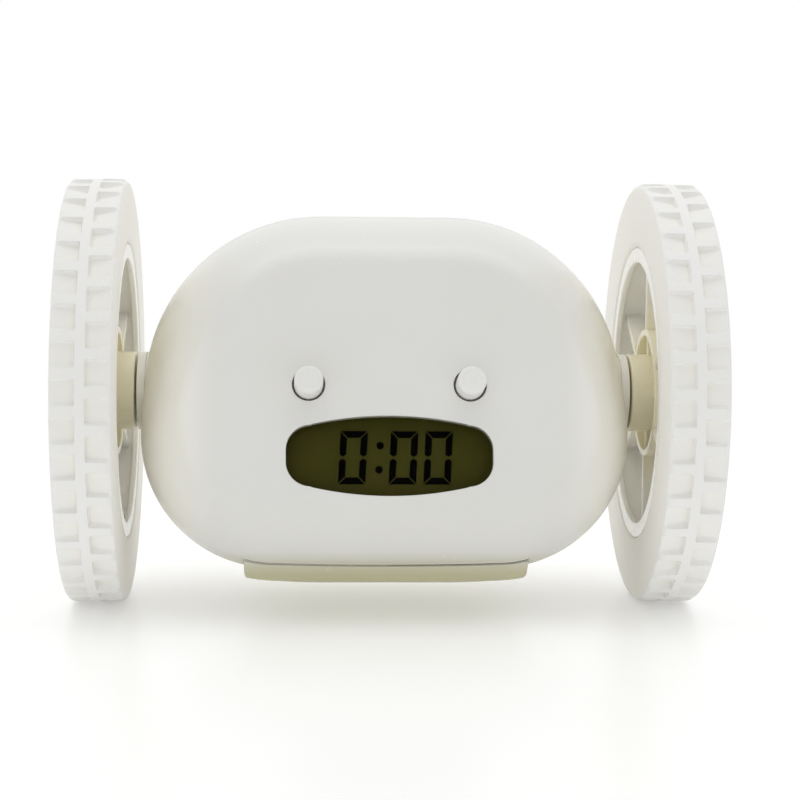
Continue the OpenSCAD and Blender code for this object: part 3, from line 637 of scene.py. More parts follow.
def rounded(profile: Sequence[Triple], steps: int) -> list[tuple[float, float]]:
    """Rounds the corners of an outline.

    Args:
        profile: (a, b, radius) corners; the ends stay as they are.
        steps: points put in each round.

    Returns:
        The finer outline.
    """
    out: list[tuple[float, float]] = []
    for i, (a, b, r) in enumerate(profile):
        if r <= 0 or i in (0, len(profile) - 1):
            out.append((a, b))
            continue
        here = np.array([a, b])
        before = np.array(profile[i - 1][:2]) - here
        after = np.array(profile[i + 1][:2]) - here
        lb, la = np.linalg.norm(before), np.linalg.norm(after)
        before, after = before / lb, after / la
        half = math.acos(max(-1.0, min(1.0, float(before @ after)))) / 2
        back = min(r / math.tan(half), lb / 2, la / 2)
        p, q = here + before * back, here + after * back
        for k in range(steps + 1):
            t = k / steps
            point = (1 - t) ** 2 * p + 2 * t * (1 - t) * here + t * t * q
            out.append((float(point[0]), float(point[1])))
    return out


def along_x(side: int) -> Placer:
    """Placer for bodies turned about the axle, on one side of the clock."""

    def place(ring: Array, height: Array) -> Array:
        """Puts (radius, height) points round the axle."""
        return np.stack([side * height, ring[:, 0], ring[:, 1] + AXLE], -1)

    return place


def along_y(x: float, z: float) -> Placer:
    """Placer for bodies turned about a line along Y, at x and z from the axle's middle."""

    def place(ring: Array, height: Array) -> Array:
        """Puts (radius, height) points round the line."""
        return np.stack([ring[:, 0] + x, height, ring[:, 1] + AXLE + z], -1)

    return place


# ---------- body form ----------


@dataclass
class Form:
    """The moulded body as a signed distance: two capsules behind a leaning face with a rounded chin."""

    barrel_radius: float = 37.5
    barrel_half: float = 13.5
    cheek_radius: float = 27.5
    cheek_half: float = 23.5
    cheek_forward: float = 11.5
    cheek_drop: float = 8.5
    face_tilt: float = math.radians(16)
    face_forward: float = 31.0
    chin_radius: float = 9.0
    wall: float = 2.2
    parting_y: float = -4.0
    cheek_blend: float = 4.0
    brow_blend: float = 1.6
    probe: float = 0.02
    cast_steps: int = 90
    cast_close: float = 1e-5

    def __post_init__(self) -> None:
        """Works out the face frame and the chin."""
        s, c = math.sin(self.face_tilt), math.cos(self.face_tilt)
        self.up = np.array([0.0, s, c])
        self.out = np.array([0.0, -c, s])
        self.zero = np.array([0.0, -self.face_forward, 0.0])
        cheek = np.array([0.0, -self.cheek_forward, -self.cheek_drop]) - self.zero
        cheek_v, cheek_w = float(cheek @ self.up), float(cheek @ self.out)
        drop = -self.chin_radius - cheek_w
        reach = math.sqrt((self.cheek_radius - self.chin_radius) ** 2 - drop**2)
        self.chin_v = cheek_v - reach
        self.chin_turn = math.atan2(reach, drop)

    def on_face(self, points: Array) -> Array:
        """Places of N (x, v, w) rows in the floor frame."""
        points = np.asarray(points, float)
        out = self.zero + points[:, 1:2] * self.up + points[:, 2:3] * self.out
        out[:, 0] = points[:, 0]
        out[:, 2] += AXLE
        return out

    def ring(self, outline: Array, down: float, out: float) -> Array:
        """Places of an (x, v) outline, moved down the face and out of it."""
        x, v = outline[:, 0], outline[:, 1] - down
        return self.on_face(np.column_stack([x, v, np.full(len(outline), out)]))

    @staticmethod
    def capsule(p: Array, radius: float, half: float) -> Array:
        """Distance to a capsule along X."""
        q = np.maximum(np.abs(p[..., 0]) - half, 0.0)
        return np.sqrt(q**2 + p[..., 1] ** 2 + p[..., 2] ** 2) - radius

    def distance(self, points: Array) -> Array:
        """Signed distance of places given relative to the axle's middle.

        Args:
            points: ... by 3, in millimetres.

        Returns:
            Distance, negative inside.
        """
        barrel = self.capsule(points, self.barrel_radius, self.barrel_half)
        moved = points + np.array([0.0, self.cheek_forward, self.cheek_drop])
        cheek = self.capsule(moved, self.cheek_radius, self.cheek_half)
        near = np.maximum(self.cheek_blend - np.abs(barrel - cheek), 0.0) / self.cheek_blend
        body = np.minimum(barrel, cheek) - near**2 * self.cheek_blend / 4
        rel = points - self.zero
        a = rel @ self.up - self.chin_v
        b = rel @ self.out + self.chin_radius
        angle = np.arctan2(-a, b)
        arc = np.sqrt(a**2 + b**2)
        slope = -a * math.sin(self.chin_turn) + b * math.cos(self.chin_turn)
        face = np.where(angle <= 0, b, np.where(angle < self.chin_turn, arc, slope)) - self.chin_radius
        near = np.maximum(self.brow_blend - np.abs(body - face), 0.0) / self.brow_blend
        return np.maximum(body, face) + near**2 * self.brow_blend / 4

    def normal(self, points: Array) -> Array:
        """Outward direction at places relative to the axle's middle."""
        steps = self.probe * np.eye(3)
        grad = np.stack([self.distance(points + a) - self.distance(points - a) for a in steps], -1)
        return grad / np.linalg.norm(grad, axis=-1, keepdims=True)

    def cast(self, origin: Array, direction: Array, inset: float = 0.0) -> Array:
        """Where rays from inside meet the surface, moved in by inset.

        Args:
            origin: ... by 3 starts inside the body.
            direction: ... by 3 unit vectors.
            inset: how far inside the surface to stop.

        Returns:
            The meeting places, relative to the axle's middle.
        """
        far = np.zeros(direction.shape[:-1])
        for _ in range(self.cast_steps):
            gap = self.distance(origin + far[..., None] * direction) + inset
            far = far - gap
            if np.abs(gap).max() < self.cast_close:
                break
        return origin + far[..., None] * direction


@dataclass
class Window:
    """The display window: bowed top and bottom, rounded corners."""

    wide: float = 41.5
    high: float = 16.2
    down: float = 10.1
    corner: float = 5.0
    bow: float = 72.0

    def outline(self, grow: float, steps: int = 140) -> Array:
        """Closed outline.

        Args:
            grow: how far outside the window it runs.
            steps: points along the top.

        Returns:
            N by 2 (x, v) places about the window's middle.
        """
        half, r = self.wide / 2 + grow, self.corner + grow
        corner_x, sink = self.wide / 2 - self.corner, self.high / 2 - self.bow
        corner_y = sink + math.sqrt((self.bow - self.corner) ** 2 - corner_x**2)
        x = -half * np.cos(np.linspace(0, math.pi, steps))
        over = np.clip(np.abs(x) - corner_x, 0, r)
        fall = np.sqrt(np.maximum(r * r - over * over, 0.0))
        corner = np.where(over > 0, corner_y + fall, self.high)
        top = np.minimum(corner, sink + np.sqrt((self.bow + grow) ** 2 - x * x))
        return np.concatenate([np.stack([x, top], -1), np.stack([x, -top], -1)[::-1]])


@dataclass
class Shell:
    """One half of the moulded body, with its real wall, holes and parting edge."""

    form: Form
    front: bool
    dome_stations: int = 85
    middle_stations: int = 44
    columns: int = 150
    pole: float = math.radians(1.2)
    seam: float = 0.09
    crisp: float = math.radians(32)
    skin_near: float = 0.03
    skin_facing: float = 0.75
    cutters: list[Mesh] = field(default_factory=list)

    def rays(self) -> tuple[Array, Array]:
        """Ray starts on the spine and their directions, one per grid point."""
        form = self.form
        dome = np.linspace(self.pole, math.pi / 2, self.dome_stations)
        straight = np.linspace(form.barrel_half, -form.barrel_half, self.middle_stations)[1:-1]
        polar = np.concatenate([dome, np.full(len(straight), math.pi / 2), math.pi - dome[::-1]])
        start = np.concatenate(
            [np.full(len(dome), form.barrel_half), straight, np.full(len(dome), -form.barrel_half)]
        )
        turn = np.linspace(math.pi / 2, 3 * math.pi / 2, self.columns)
        if not self.front:
            turn = turn - math.pi
        shift = -self.seam if self.front else self.seam
        p, t = np.meshgrid(polar, turn, indexing="ij")
        x, _ = np.meshgrid(start, turn, indexing="ij")
        origin = np.stack([x, np.full_like(x, form.parting_y + shift), np.zeros_like(x)], -1)
        direction = np.stack([np.cos(p), np.sin(p) * np.cos(t), np.sin(p) * np.sin(t)], -1)
        return origin, direction

    def blank(self) -> Mesh:
        """The closed shell before anything is cut."""
        origin, direction = self.rays()
        outer = self.form.cast(origin, direction) + LIFT
        inner = self.form.cast(origin, direction, self.form.wall) + LIFT
        return Mesh().grid(outer).grid(inner, flip=True).hem(outer, inner)

    def prism(self, outline: Array, down: float, low: float, high: float) -> Mesh:
        """Straight cutter through the face.

        Args:
            outline: N by 2 (x, v) places.
            down: how far below the face's zero the outline's middle is.
            low: inner end along the face's outward direction.
            high: outer end.

        Returns:
            The cutter.
        """
        return Mesh().tube(np.array([self.form.ring(outline, down, out) for out in (low, high)]))

    def cut(self, name: str) -> bpy.types.Object:
        """The shell with every cutter taken out and true normals set."""
        data = self.blank().data(name)
        made = show(bpy.data.objects.new(name, data))
        tools = []
        for i, cutter in enumerate(self.cutters):
            tool = show(bpy.data.objects.new(f"cutter_{i}", cutter.data(f"cutter_{i}")))
            tools.append(tool)
            step = made.modifiers.new(f"cut_{i}", "BOOLEAN")
            step.operation = "DIFFERENCE"
            step.solver = "EXACT"
            step.object = tool
        bpy.context.view_layer.update()
        solved = made.evaluated_get(bpy.context.evaluated_depsgraph_get())
        result = bpy.data.meshes.new_from_object(solved)
        made.modifiers.clear()
        made.data = result
        result.name = name
        bpy.data.meshes.remove(data)
        for tool in tools:
            bpy.data.meshes.remove(tool.data)
        self.true_normals(made)
        return made

    def true_normals(self, made: bpy.types.Object) -> None:
        """Sets the form's own normals on the outer and inner skins."""
        mesh = made.data
        mesh.shade_smooth()
        mesh.set_sharp_from_angle(angle=self.crisp)
        count = len(mesh.vertices)
        places = np.empty(count * 3)
        mesh.vertices.foreach_get("co", places)
        places = places.reshape(-1, 3) / MM - LIFT
        depth = self.form.distance(places)
        slope = self.form.normal(places)
        loops = np.empty(len(mesh.loops), int)
        mesh.loops.foreach_get("vertex_index", loops)
        faces = np.empty(len(mesh.polygons) * 3)
        mesh.polygons.foreach_get("normal", faces)
        totals = np.empty(len(mesh.polygons), int)
        mesh.polygons.foreach_get("loop_total", totals)
        owner = np.repeat(np.arange(len(totals)), totals)
        flat = faces.reshape(-1, 3)[owner]
        corner = np.empty(len(mesh.loops) * 3)
        mesh.corner_normals.foreach_get("vector", corner)
        corner = corner.reshape(-1, 3)
        true = slope[loops]
        facing = np.einsum("ij,ij->i", true, flat)
        outer = (np.abs(depth[loops]) < self.skin_near) & (facing > self.skin_facing)
        inner = (np.abs(depth[loops] + self.form.wall) < self.skin_near) & (facing < -self.skin_facing)
        corner[outer] = true[outer]
        corner[inner] = -true[inner]
        mesh.normals_split_custom_set(corner.tolist())


# ---------- sub-assemblies ----------


class Side(Enum):
    """The two sides of the clock as a viewer faces it."""

    LEFT = -1
    RIGHT = 1

    @property
    def word(self) -> str:
        """Name as it stands in body and node names."""
        return self.name.lower()


@dataclass
class Finishes:
    """Every material of the clock, made once and handed out by slot."""

    made: dict[str, bpy.types.Material] = field(default_factory=dict)

    BY_SLOT: ClassVar[dict[str, Finish]] = {
        # painted light on the body's ends, painted shade underneath
        "shell_white": Moulded(
            "shell_plastic", (0.8, 0.797, 0.77), (0.793, 0.789, 0.758), 0.26, 0.06, 0.45, 0.003, 0.3,
            fade=Fade.ENDS, deep=(0.985, 0.972, 0.9), core=(0.6, 0.575, 0.38),
            fade_mm=(33.0, 48.0), core_mm=(15.5, 8.0),
        ),
        "cap_white": Moulded(
            "cap_plastic", (0.86, 0.857, 0.835), (0.84, 0.835, 0.81), 0.34, 0.08, 0.4, 0.004, 0.2
        ),
        # warm painted light over the hub's inner face, deeper painted shade near the axle
        "hub_cream": Moulded(
            "hub_plastic", (0.95, 0.942, 0.9), (0.94, 0.93, 0.885), 0.26, 0.08, 0.5, 0.004, 0.3,
            fade=Fade.AXLE, deep=(0.97, 0.905, 0.67), core=(0.96, 0.865, 0.52),
            fade_mm=(29.8, 8.0), core_mm=(8.4, 6.0),
        ),
        # warm painted light in the tyre's pockets and on its sides
        "tyre_white": Moulded(
            "tyre_rubber", (0.9, 0.896, 0.875), (0.89, 0.886, 0.862), 0.62, 0.12, 0.25, 0.01, 0.2,
            wear=0.3, specular=0.3, fade=Fade.TREAD, deep=(0.94, 0.925, 0.87), fade_mm=(44.6, 43.4),
        ),
        "holder_grey": Moulded(
            "holder_plastic", (0.17, 0.17, 0.175), (0.14, 0.14, 0.145), 0.5, 0.12, 0.3, 0.008, 0.15
        ),
        "black_plastic": Moulded(
            "component_black", (0.02, 0.02, 0.022), (0.03, 0.03, 0.03), 0.42, 0.15, 0.2, 0.01, 0.1
        ),
        "strip_rubber": Moulded(
            "strip_rubber", (0.03, 0.03, 0.034), (0.045, 0.045, 0.05), 0.7, 0.1, 0.15, 0.012, 0.15
        ),
        "gear_nylon": Moulded(
            "gear_nylon", (0.8, 0.78, 0.71), (0.76, 0.73, 0.65), 0.42, 0.1, 0.3, 0.006, 0.06, 0.12
        ),
        "lcd_ink": Moulded(
            "lcd_dark", (0.0015, 0.0012, 0.0015), (0.002, 0.0016, 0.002), 0.5, 0.06, 0.2, 0.001, 0.02,
            specular=0.0,
        ),
        "lead_red": Moulded(
            "lead_red", (0.45, 0.02, 0.015), (0.36, 0.015, 0.012), 0.38, 0.1, 0.3, 0.004, 0.05
        ),
        "lead_black": Moulded(
            "lead_black", (0.015, 0.015, 0.016), (0.025, 0.025, 0.025), 0.38, 0.1, 0.3, 0.004, 0.05
        ),
        "lead_grey": Moulded(
            "lead_grey", (0.3, 0.3, 0.32), (0.26, 0.26, 0.28), 0.38, 0.1, 0.3, 0.004, 0.05
        ),
        "motor_can": Metal("motor_can", (0.6, 0.6, 0.6), (0.46, 0.46, 0.46), 0.3),
        "steel": Metal("drawn_steel", (0.58, 0.58, 0.59), (0.42, 0.42, 0.43)),
        "brass": Metal("turned_brass", (0.72, 0.5, 0.2), (0.55, 0.36, 0.13), 0.28),
        "board_green": Board("circuit_board"),
        "cell_sleeve": Sleeve("cell_sleeve"),
        "lcd_olive": Crystal("lcd_glass"),
        "lens_clear": Clear("window_clear"),
    }

    def of(self, slot: str) -> bpy.types.Material:
        """Material of a record slot, built the first time it is asked for."""
        if slot not in self.made:
            self.made[slot] = self.BY_SLOT[slot].build()
        return self.made[slot]

    def settle(
        self, made: bpy.types.Object, body: str, slot: str, stands_for: Sequence[str] = ()
    ) -> None:
        """Ties an object of the scene to its body and gives it its material.

        Args:
            made: the object.
            body: body it rides on.
            slot: the record's material slot.
            stands_for: CAD nodes that it replaces.
        """
        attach(made, body)
        if stands_for:
            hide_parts(*stands_for)
        made.data.materials.clear()
        made.data.materials.append(self.of(slot))
        LOG.info("%s: %d faces", made.name, len(made.data.polygons))

    def add(
        self, mesh: Mesh, name: str, body: str, slot: str, stands_for: Sequence[str] = (), sharp: float = 35.0
    ) -> None:
        """Makes a scene piece of a mesh.

        Args:
            mesh: its form.
            name: piece name.
            body: body it rides on.
            slot: the record's material slot.
            stands_for: CAD nodes that it replaces.
            sharp: edges steeper than this many degrees stay crisp.
        """
        made = show(bpy.data.objects.new(name, mesh.data(name)))
        made.data.shade_smooth()
        made.data.set_sharp_from_angle(angle=math.radians(sharp))
        self.settle(made, body, slot, stands_for)

    def dress_frame(self) -> None:
        """Gives every carried-over CAD node its material."""
        for part in frame["record"]["subparts"]:
            node = frame["nodes"][part["node"]]
            for held in node.material_slots:
                held.material = self.of(part["material_slot"])


@dataclass
class Body:
    """Front and rear shells with window, button holes, grille, rear controls and screw wells."""

    finishes: Finishes
    form: Form = field(default_factory=Form)
    window: Window = field(default_factory=Window)
    eye_x: float = 16.25
    eye_up: float = 4.3
    eye_hole: float = 3.35
    face_cut: tuple[float, float] = (-6.0, 4.0)
    seat_x: float = 50.6
    seat_radius: float = 8.3
    seat_room: float = 2.0
    pad_from: float = 46.0
    bore: float = 6.0
    bore_from: float = 44.0
    bore_to: float = 56.0
    hatch: tuple[float, float, float, float] = (25.2, -20.05, 24.05, 22.0)
    hatch_foot: float = -5.0
    screws: tuple[tuple[float, float], ...] = ((20.0, 27.6), (-20.0, 27.6), (31.2, -21.6), (-31.2, -21.6))
    screw_seat: float = 12.0
    screw_well: float = 2.1
    post_bore: float = 1.1
    post_radius: float = 3.2
    post_ends: tuple[float, float] = (-16.0, -22.0)
    post_gap: float = 0.1
    rear_cut: tuple[float, float] = (31.0, 45.0)
    rear_holes: tuple[float, float] = (7.4, -1.2)
    rear_hole: float = 2.75
    mode_z: float = -10.6
    mode_slot: tuple[float, float] = (3.0, 1.7)
    sound_angle: float = math.radians(55)
    sound_rings: tuple[tuple[float, int], ...] = ((0.0, 1), (4.0, 6), (8.0, 12))
    sound_hole: float = 0.9
    sound_cut: tuple[float, float] = (20.0, 50.0)

    def ends(self) -> list[Mesh]:
        """Cutters for the flat collar seats and their bores."""
        wide = self.seat_radius + self.seat_room
        profile = [
            (0, self.bore_from),
            (self.bore, self.bore_from),
            (self.bore, self.seat_x),
            (wide, self.seat_x),
            (wide, self.bore_to),
            (0, self.bore_to),
        ]
        return [Mesh().turned(profile, along_x(side.value)) for side in Side]

    def under(self) -> Mesh:
        """Cutter for the cell hatch."""
        half, front, rear, drop = self.hatch
        return Mesh().block((-half, front, self.hatch_foot), (half, rear, AXLE - drop))

    def rear_rod(self, x: float, z: float, low: float, radius: float) -> Mesh:
        """Round cutter along Y that runs out through the back."""
        high = self.rear_cut[1]
        return Mesh().turned([(0, low), (radius, low), (radius, high), (0, high)], along_y(x, z), 48)

    def build(self) -> None:
        """Makes both shells, the collar pads and the screw posts."""
        ends_and_hatch = [*self.ends(), self.under()]
        front = Shell(self.form, front=True)
        front.cutters = [front.prism(self.window.outline(0.0), self.window.down, *self.face_cut)]
        for x in (-self.eye_x, self.eye_x):
            hole = circle(72) * self.eye_hole + np.array([x, self.eye_up])
            front.cutters.append(front.prism(hole, 0.0, *self.face_cut))
        front.cutters += ends_and_hatch
        rear = Shell(self.form, front=False)
        rear.cutters = [*ends_and_hatch]
        rear.cutters += [self.rear_rod(x, z, self.screw_seat, self.screw_well) for x, z in self.screws]
        rear.cutters += [self.rear_rod(0.0, z, self.rear_cut[0], self.rear_hole) for z in self.rear_holes]
        slot_x, slot_z = self.mode_slot
        middle = AXLE + self.mode_z
        near, far = self.rear_cut
        rear.cutters.append(Mesh().block((-slot_x, near, middle - slot_z), (slot_x, far, middle + slot_z)))
        rear.cutters += self.grille()
        for shell, name, node in ((front, "front_skin", "front_shell"), (rear, "rear_skin", "rear_shell")):
            self.finishes.settle(shell.cut(name), "clock", "shell_white", [node])
        self.collar_pads()
        self.inner_posts()

    def collar_pads(self) -> None:
        """Flat pads that the collars run against."""
        profile = rounded(
            [
                (self.bore, self.pad_from, 0),
                (self.bore, self.seat_x, 0.2),
                (self.seat_radius, self.seat_x, 0.3),
                (self.seat_radius, self.pad_from, 0),
                (self.bore, self.pad_from, 0),
            ],
            3,
        )
        for side in Side:
            mesh = Mesh().turned(profile, along_x(side.value))
            self.finishes.add(mesh, f"collar_pad_{side.word}", "clock", "shell_white")

    def inner_posts(self) -> None:
        """Screw posts on both sides of the parting line."""
        mesh = Mesh()
        parting, bore, wide = self.form.parting_y, self.post_bore, self.post_radius
        for x, z in self.screws:
            start = self.post_ends[0] if z > 0 else self.post_ends[1]
            for a, b in ((start, parting - self.post_gap), (parting + self.post_gap, self.screw_seat)):
                profile = [(bore, a), (wide, a), (wide, b), (bore, b), (bore, a)]
                mesh.turned(profile, along_y(x, z), 40)
        self.finishes.add(mesh, "shell_posts", "clock", "shell_white")

    def grille(self) -> list[Mesh]:
        """Cutters for the sounder's holes."""
        tilt = Matrix.Rotation(self.sound_angle - math.pi / 2, 3, "X")
        near, far = self.sound_cut
        profile = [(0, near), (self.sound_hole, near), (self.sound_hole, far), (0, far)]
        out = []
        for radius, holes in self.sound_rings:
            for spot in circle(holes) * radius:

                def place(ring: Array, height: Array, spot: Array = spot) -> Array:
                    """Puts (radius, height) points along the grille's direction."""
                    flat = np.column_stack([ring + spot, height])
                    return flat @ np.array(tilt).T + LIFT

                out.append(Mesh().turned(profile, place, 24))
        return out


@dataclass
class Cover:
    """Battery cover: a curved skin that follows the underside and stands proud of it."""

    finishes: Finishes
    form: Form
    half_x: float = 29.3
    front_y: float = -25.0
    rear_y: float = 23.5
    skin: float = 2.6
    gap: float = 0.3
    columns: int = 90
    rows: int = 80
    dip: float = 1.5
    start_z: float = -8.5
    edge_z: float = -33.1
    slope_run: float = 3.6
    slope_steps: int = 8

    def levels(self) -> list[tuple[float, float, float]]:
        """(inset of the other rims, distance out of the body, front edge's step back), inside first."""
        out = [(0.25, self.gap, 0.0), (0.0, self.gap + 0.15, 0.0)]
        for run in np.linspace(0.0, self.slope_run, self.slope_steps):
            place = np.array([0.0, self.front_y + self.dip + run, self.edge_z - run])
            out.append((0.0, float(self.form.distance(place)), float(run)))
        deepest = out[-1][1]
        out.append((0.12, deepest + (self.skin - deepest) * 0.7, self.slope_run + 0.25))
        out.append((0.45, self.skin, self.slope_run + 0.7))
        return out

    def build(self) -> None:
        """Makes the cover with rounded rims."""
        u = np.linspace(-1, 1, self.columns)
        v = np.linspace(0, 1, self.rows)
        layers = []
        for inset, out, slope in self.levels():
            x = u * (self.half_x - inset)
            gx, gv = np.meshgrid(x, v, indexing="ij")
            front = self.front_y + self.dip * (1 - (gx / self.half_x) ** 2) + slope
            gy = front + gv * (self.rear_y - inset - front)
            start = np.stack([gx, gy, np.full_like(gx, self.start_z)], -1)
            down = np.broadcast_to(np.array([0.0, 0.0, -1.0]), start.shape)
            layers.append(self.form.cast(start, down, -out) + LIFT)
        mesh = Mesh().grid(layers[0], flip=True).grid(layers[-1])
        for a, b in zip(layers, layers[1:]):
            mesh.hem(a, b)
        self.finishes.add(mesh, "cover_skin", "cover", "shell_white", ["battery_cover"], 50)


@dataclass
class Display:
    """Window lens with rolled edges; the panel and digits behind it are the CAD's own."""

    finishes: Finishes
    form: Form
    window: Window
    flange: float = 3.4
    flange_out: float = 1.4
    lip_back: float = 2.25
    face: float = -0.25

    def build(self) -> None:
        """Makes the lens."""
        layers = (
            (self.flange_out, -self.flange),
            (self.flange_out, -self.lip_back),
            (-0.1, -self.lip_back),
            (-0.1, self.face - 0.35),
            (-0.2, self.face - 0.12),
            (-0.45, self.face),
        )
        rings = [self.form.ring(self.window.outline(grow), self.window.down, out) for grow, out in layers]
        mesh = Mesh().tube(np.array(rings))
        self.finishes.add(mesh, "window_lens", "clock", "lens_clear", ["display_lens"], 30)


@dataclass
class FrontCap:
    """A round front button with a soft rim and a shallow dished top."""

    finishes: Finishes
    form: Form
    x: float
    name: str
    body: str
    node: str
    up: float = 4.3
    radius: float = 2.9
    proud: float = 5.0
    flange: float = 4.1
    flange_top: float = -2.85
    foot: float = -4.3

    def build(self) -> None:
        """Makes the cap."""
        profile = rounded(
            [
                (0.0, self.foot, 0),
                (self.flange, self.foot, 0.1),
                (self.flange, self.flange_top, 0.1),
                (self.radius, self.flange_top, 0.1),
                (self.radius, self.proud, 0.45),
                (2.15, self.proud, 0.4),
                (1.85, self.proud - 0.16, 0.4),
                (0.0, self.proud - 0.22, 0),
            ],
            7,
        )

        def place(ring: Array, height: Array) -> Array:
            """Puts (radius, height) points out of the face."""
            return self.form.on_face(np.column_stack([ring[:, 0] + self.x, ring[:, 1] + self.up, height]))

        self.finishes.add(Mesh().turned(profile, place), self.name, self.body, "cap_white", [self.node], 60)


@dataclass
class Wheel:
    """One driven wheel: pocketed tyre, rim with spokes, boss and ring."""

    finishes: Finishes
    side: Side
    radius: float = 45.0
    width: float = 12.0
    centre_x: float = 60.4
    pockets: int = 38
    depth: float = 1.4
    rib: float = 2.1
    pocket_slope: float = 0.18
    pocket_half: float = 0.33
    pocket_round: float = 0.25
    pocket_lead: float = 0.07
    pocket_soft: float = 0.2
    bead: float = 0.3
    shoulder_steps: int = 10
    wall_steps: int = 12
    steps_per_pocket: int = 34
    tread_columns: int = 75
    rim: float = 31.4
    shoulder: float = 1.4
    ring: float = 13.0
    boss: float = 8.3
    spokes: int = 6
    inner_ribs: int = 4
    web: float = 1.5
    web_shift: float = 0.2
    rim_lip: float = 3.2
    rim_wall: float = 1.7
    rib_soft: float = 0.2
    hub_in: float = 52.8
    bore: float = 1.5
    screw_hole: float = 3.1

    def tyre(self) -> Mesh:
        """Tyre with softly moulded pockets in two staggered rows."""
        half, s = self.width / 2, self.shoulder
        arc = np.linspace(0, math.pi / 2, self.shoulder_steps)
        shoulder = [(self.radius - s + s * math.sin(a), -half + s - s * math.cos(a)) for a in arc]
        wall = [(r, -half) for r in np.linspace(self.rim + self.bead, self.radius - s, self.wall_steps)[:-1]]
        lower = [(self.rim, -half + self.bead), *wall, *shoulder]
        tread = [(self.radius, x) for x in np.linspace(-half + s, half - s, self.tread_columns)[1:-1]]
        profile = np.array([*lower, *tread, *[(r, -x) for r, x in lower[::-1]]])
        steps = self.pockets * self.steps_per_pocket
        turn = np.arange(steps) * 2 * math.pi / steps
        x = profile[:, 1][:, None] * np.ones(steps)
        r = profile[:, 0][:, None] * np.ones(steps)
        pitch = 2 * math.pi * self.radius / self.pockets
        arc_len = turn[None, :] * self.radius
        corner = self.pocket_round
        for row, shift in ((-1, 0.0), (1, 0.5)):
            along = (arc_len / pitch + shift + 0.5) % 1.0 - 0.5
            a = np.abs(along * pitch) - self.pocket_half * pitch
            b = self.rib / 2 - row * x
            qa, qb = np.maximum(a + corner, 0), np.maximum(b + corner, 0)
            d = np.sqrt(qa**2 + qb**2) + np.minimum(np.maximum(a, b) + corner, 0) - corner
            t = np.clip((self.pocket_lead - d) / self.pocket_soft, 0, 1)
            t = t * t * (3 - 2 * t)
            floor = self.radius - self.depth + np.maximum(-b, 0.0) * self.pocket_slope
            on_tread = (np.abs(x) < half - 0.05) & (r > self.radius - self.shoulder)
            r = r - t * np.where(on_tread, np.maximum(r - floor, 0), 0.0)
        ring, place = np.stack([np.cos(turn), np.sin(turn)], -1), along_x(self.side.value)
        rows = [place(ring * far[:, None], across + self.centre_x) for far, across in zip(r, x)]
        return Mesh().grid(np.array([*rows, rows[0]]), around=True)

    def hub(self) -> Mesh:
        """Hub moulding turned as one profile, with ribs and spokes."""
        inner, outer = self.centre_x - self.width / 2 + 0.2, self.centre_x + self.width / 2
        wi = self.centre_x + self.web_shift
        wo = wi + self.web
        lip, wall = self.rim - self.rim_lip, self.rim - self.rim_wall
        profile = rounded(
            [
                (self.bore, self.hub_in, 0),
                (self.boss, self.hub_in, 0.5),
                (self.boss, wi, 0.8),
                (self.ring - 0.7, wi, 0.6),
                (self.ring - 0.7, wi - 4, 0.3),
                (self.ring + 0.7, wi - 4, 0.3),
                (self.ring + 0.7, wi, 0.8),
                (wall, wi, 1.2),
                (wall, inner + 1.2, 0.5),
                (lip, inner + 1.2, 0.25),
                (lip, inner, 0.4),
                (self.rim - 0.05, inner, 0.25),
                (self.rim - 0.05, outer - 0.8, 0.25),
                (lip, outer - 0.8, 0.4),
                (lip, outer - 2.0, 0.25),
                (wall, outer - 2.0, 0.4),
                (wall, wo, 1.0),
                (self.ring - 1.0, wo, 0.3),
                (self.ring - 1.0, wo + 1, 0.25),
                (self.ring - 2.2, wo + 1, 0.25),
                (self.ring - 2.2, wo, 0.3),
                (self.screw_hole, wo, 0.2),
                (self.screw_hole, wi + 0.6, 0.1),
                (self.bore, wi + 0.6, 0.05),
                (self.bore, self.hub_in, 0),
            ],
            5,
        )
        mesh = Mesh().turned(profile, along_x(self.side.value), 180)
        for k in range(self.inner_ribs):
            turn = 360 / self.inner_ribs * k
            self.rib_block(mesh, turn, wi + 0.1, wi - 3.4, 0.6, self.boss - 0.5, self.ring - 0.5)
        for k in range(self.spokes):
            turn = 360 / self.spokes * k
            self.rib_block(mesh, turn, wi + 0.1, wi - 3.8, 0.7, self.ring, self.rim - 1.2)
            self.rib_block(mesh, turn, wo - 0.1, wo + 1, 1.4, self.ring - 1.2, self.rim - 1.4)
        return mesh

    def rib_block(
        self, mesh: Mesh, turn: float, root: float, tip: float, half: float, near: float, far: float
    ) -> None:
        """Adds a rib with chamfered long edges at its tip.

        Args:
            mesh: mesh that takes it.
            turn: degrees round the axle.
            root: where it grows out of the web, along the axle.
            tip: its free end, along the axle.
            half: half thickness.
            near: inner radius.
            far: outer radius.
        """
        soft = self.rib_soft
        back = tip + math.copysign(soft, root - tip)
        right = [(half, root), (half, back), (half - soft, tip)]
        section = [(-half, root), *right, (-half + soft, tip), (-half, back)]
        s, c = math.sin(math.radians(turn)), math.cos(math.radians(turn))
        rings = [
            [(self.side.value * x, c * t - s * r, AXLE + c * r + s * t) for t, x in section]
            for r in (near, far)
        ]
        mesh.tube(np.array(rings))

    def build(self) -> None:
        """Makes the tyre and the hub."""
        word = self.side.word
        self.finishes.add(self.tyre(), f"tread_{word}", f"{word}_wheel", "tyre_white", [f"tyre_{word}"], 70)
        self.finishes.add(self.hub(), f"rim_{word}", f"{word}_wheel", "hub_cream", [f"hub_{word}"], 40)


# ---------- studio ----------


@dataclass(frozen=True)
class Lamp:
    """A soft rectangular lamp."""

    name: str
    spot: Triple
    aim: Triple
    wide: float
    high: float
    watts: float


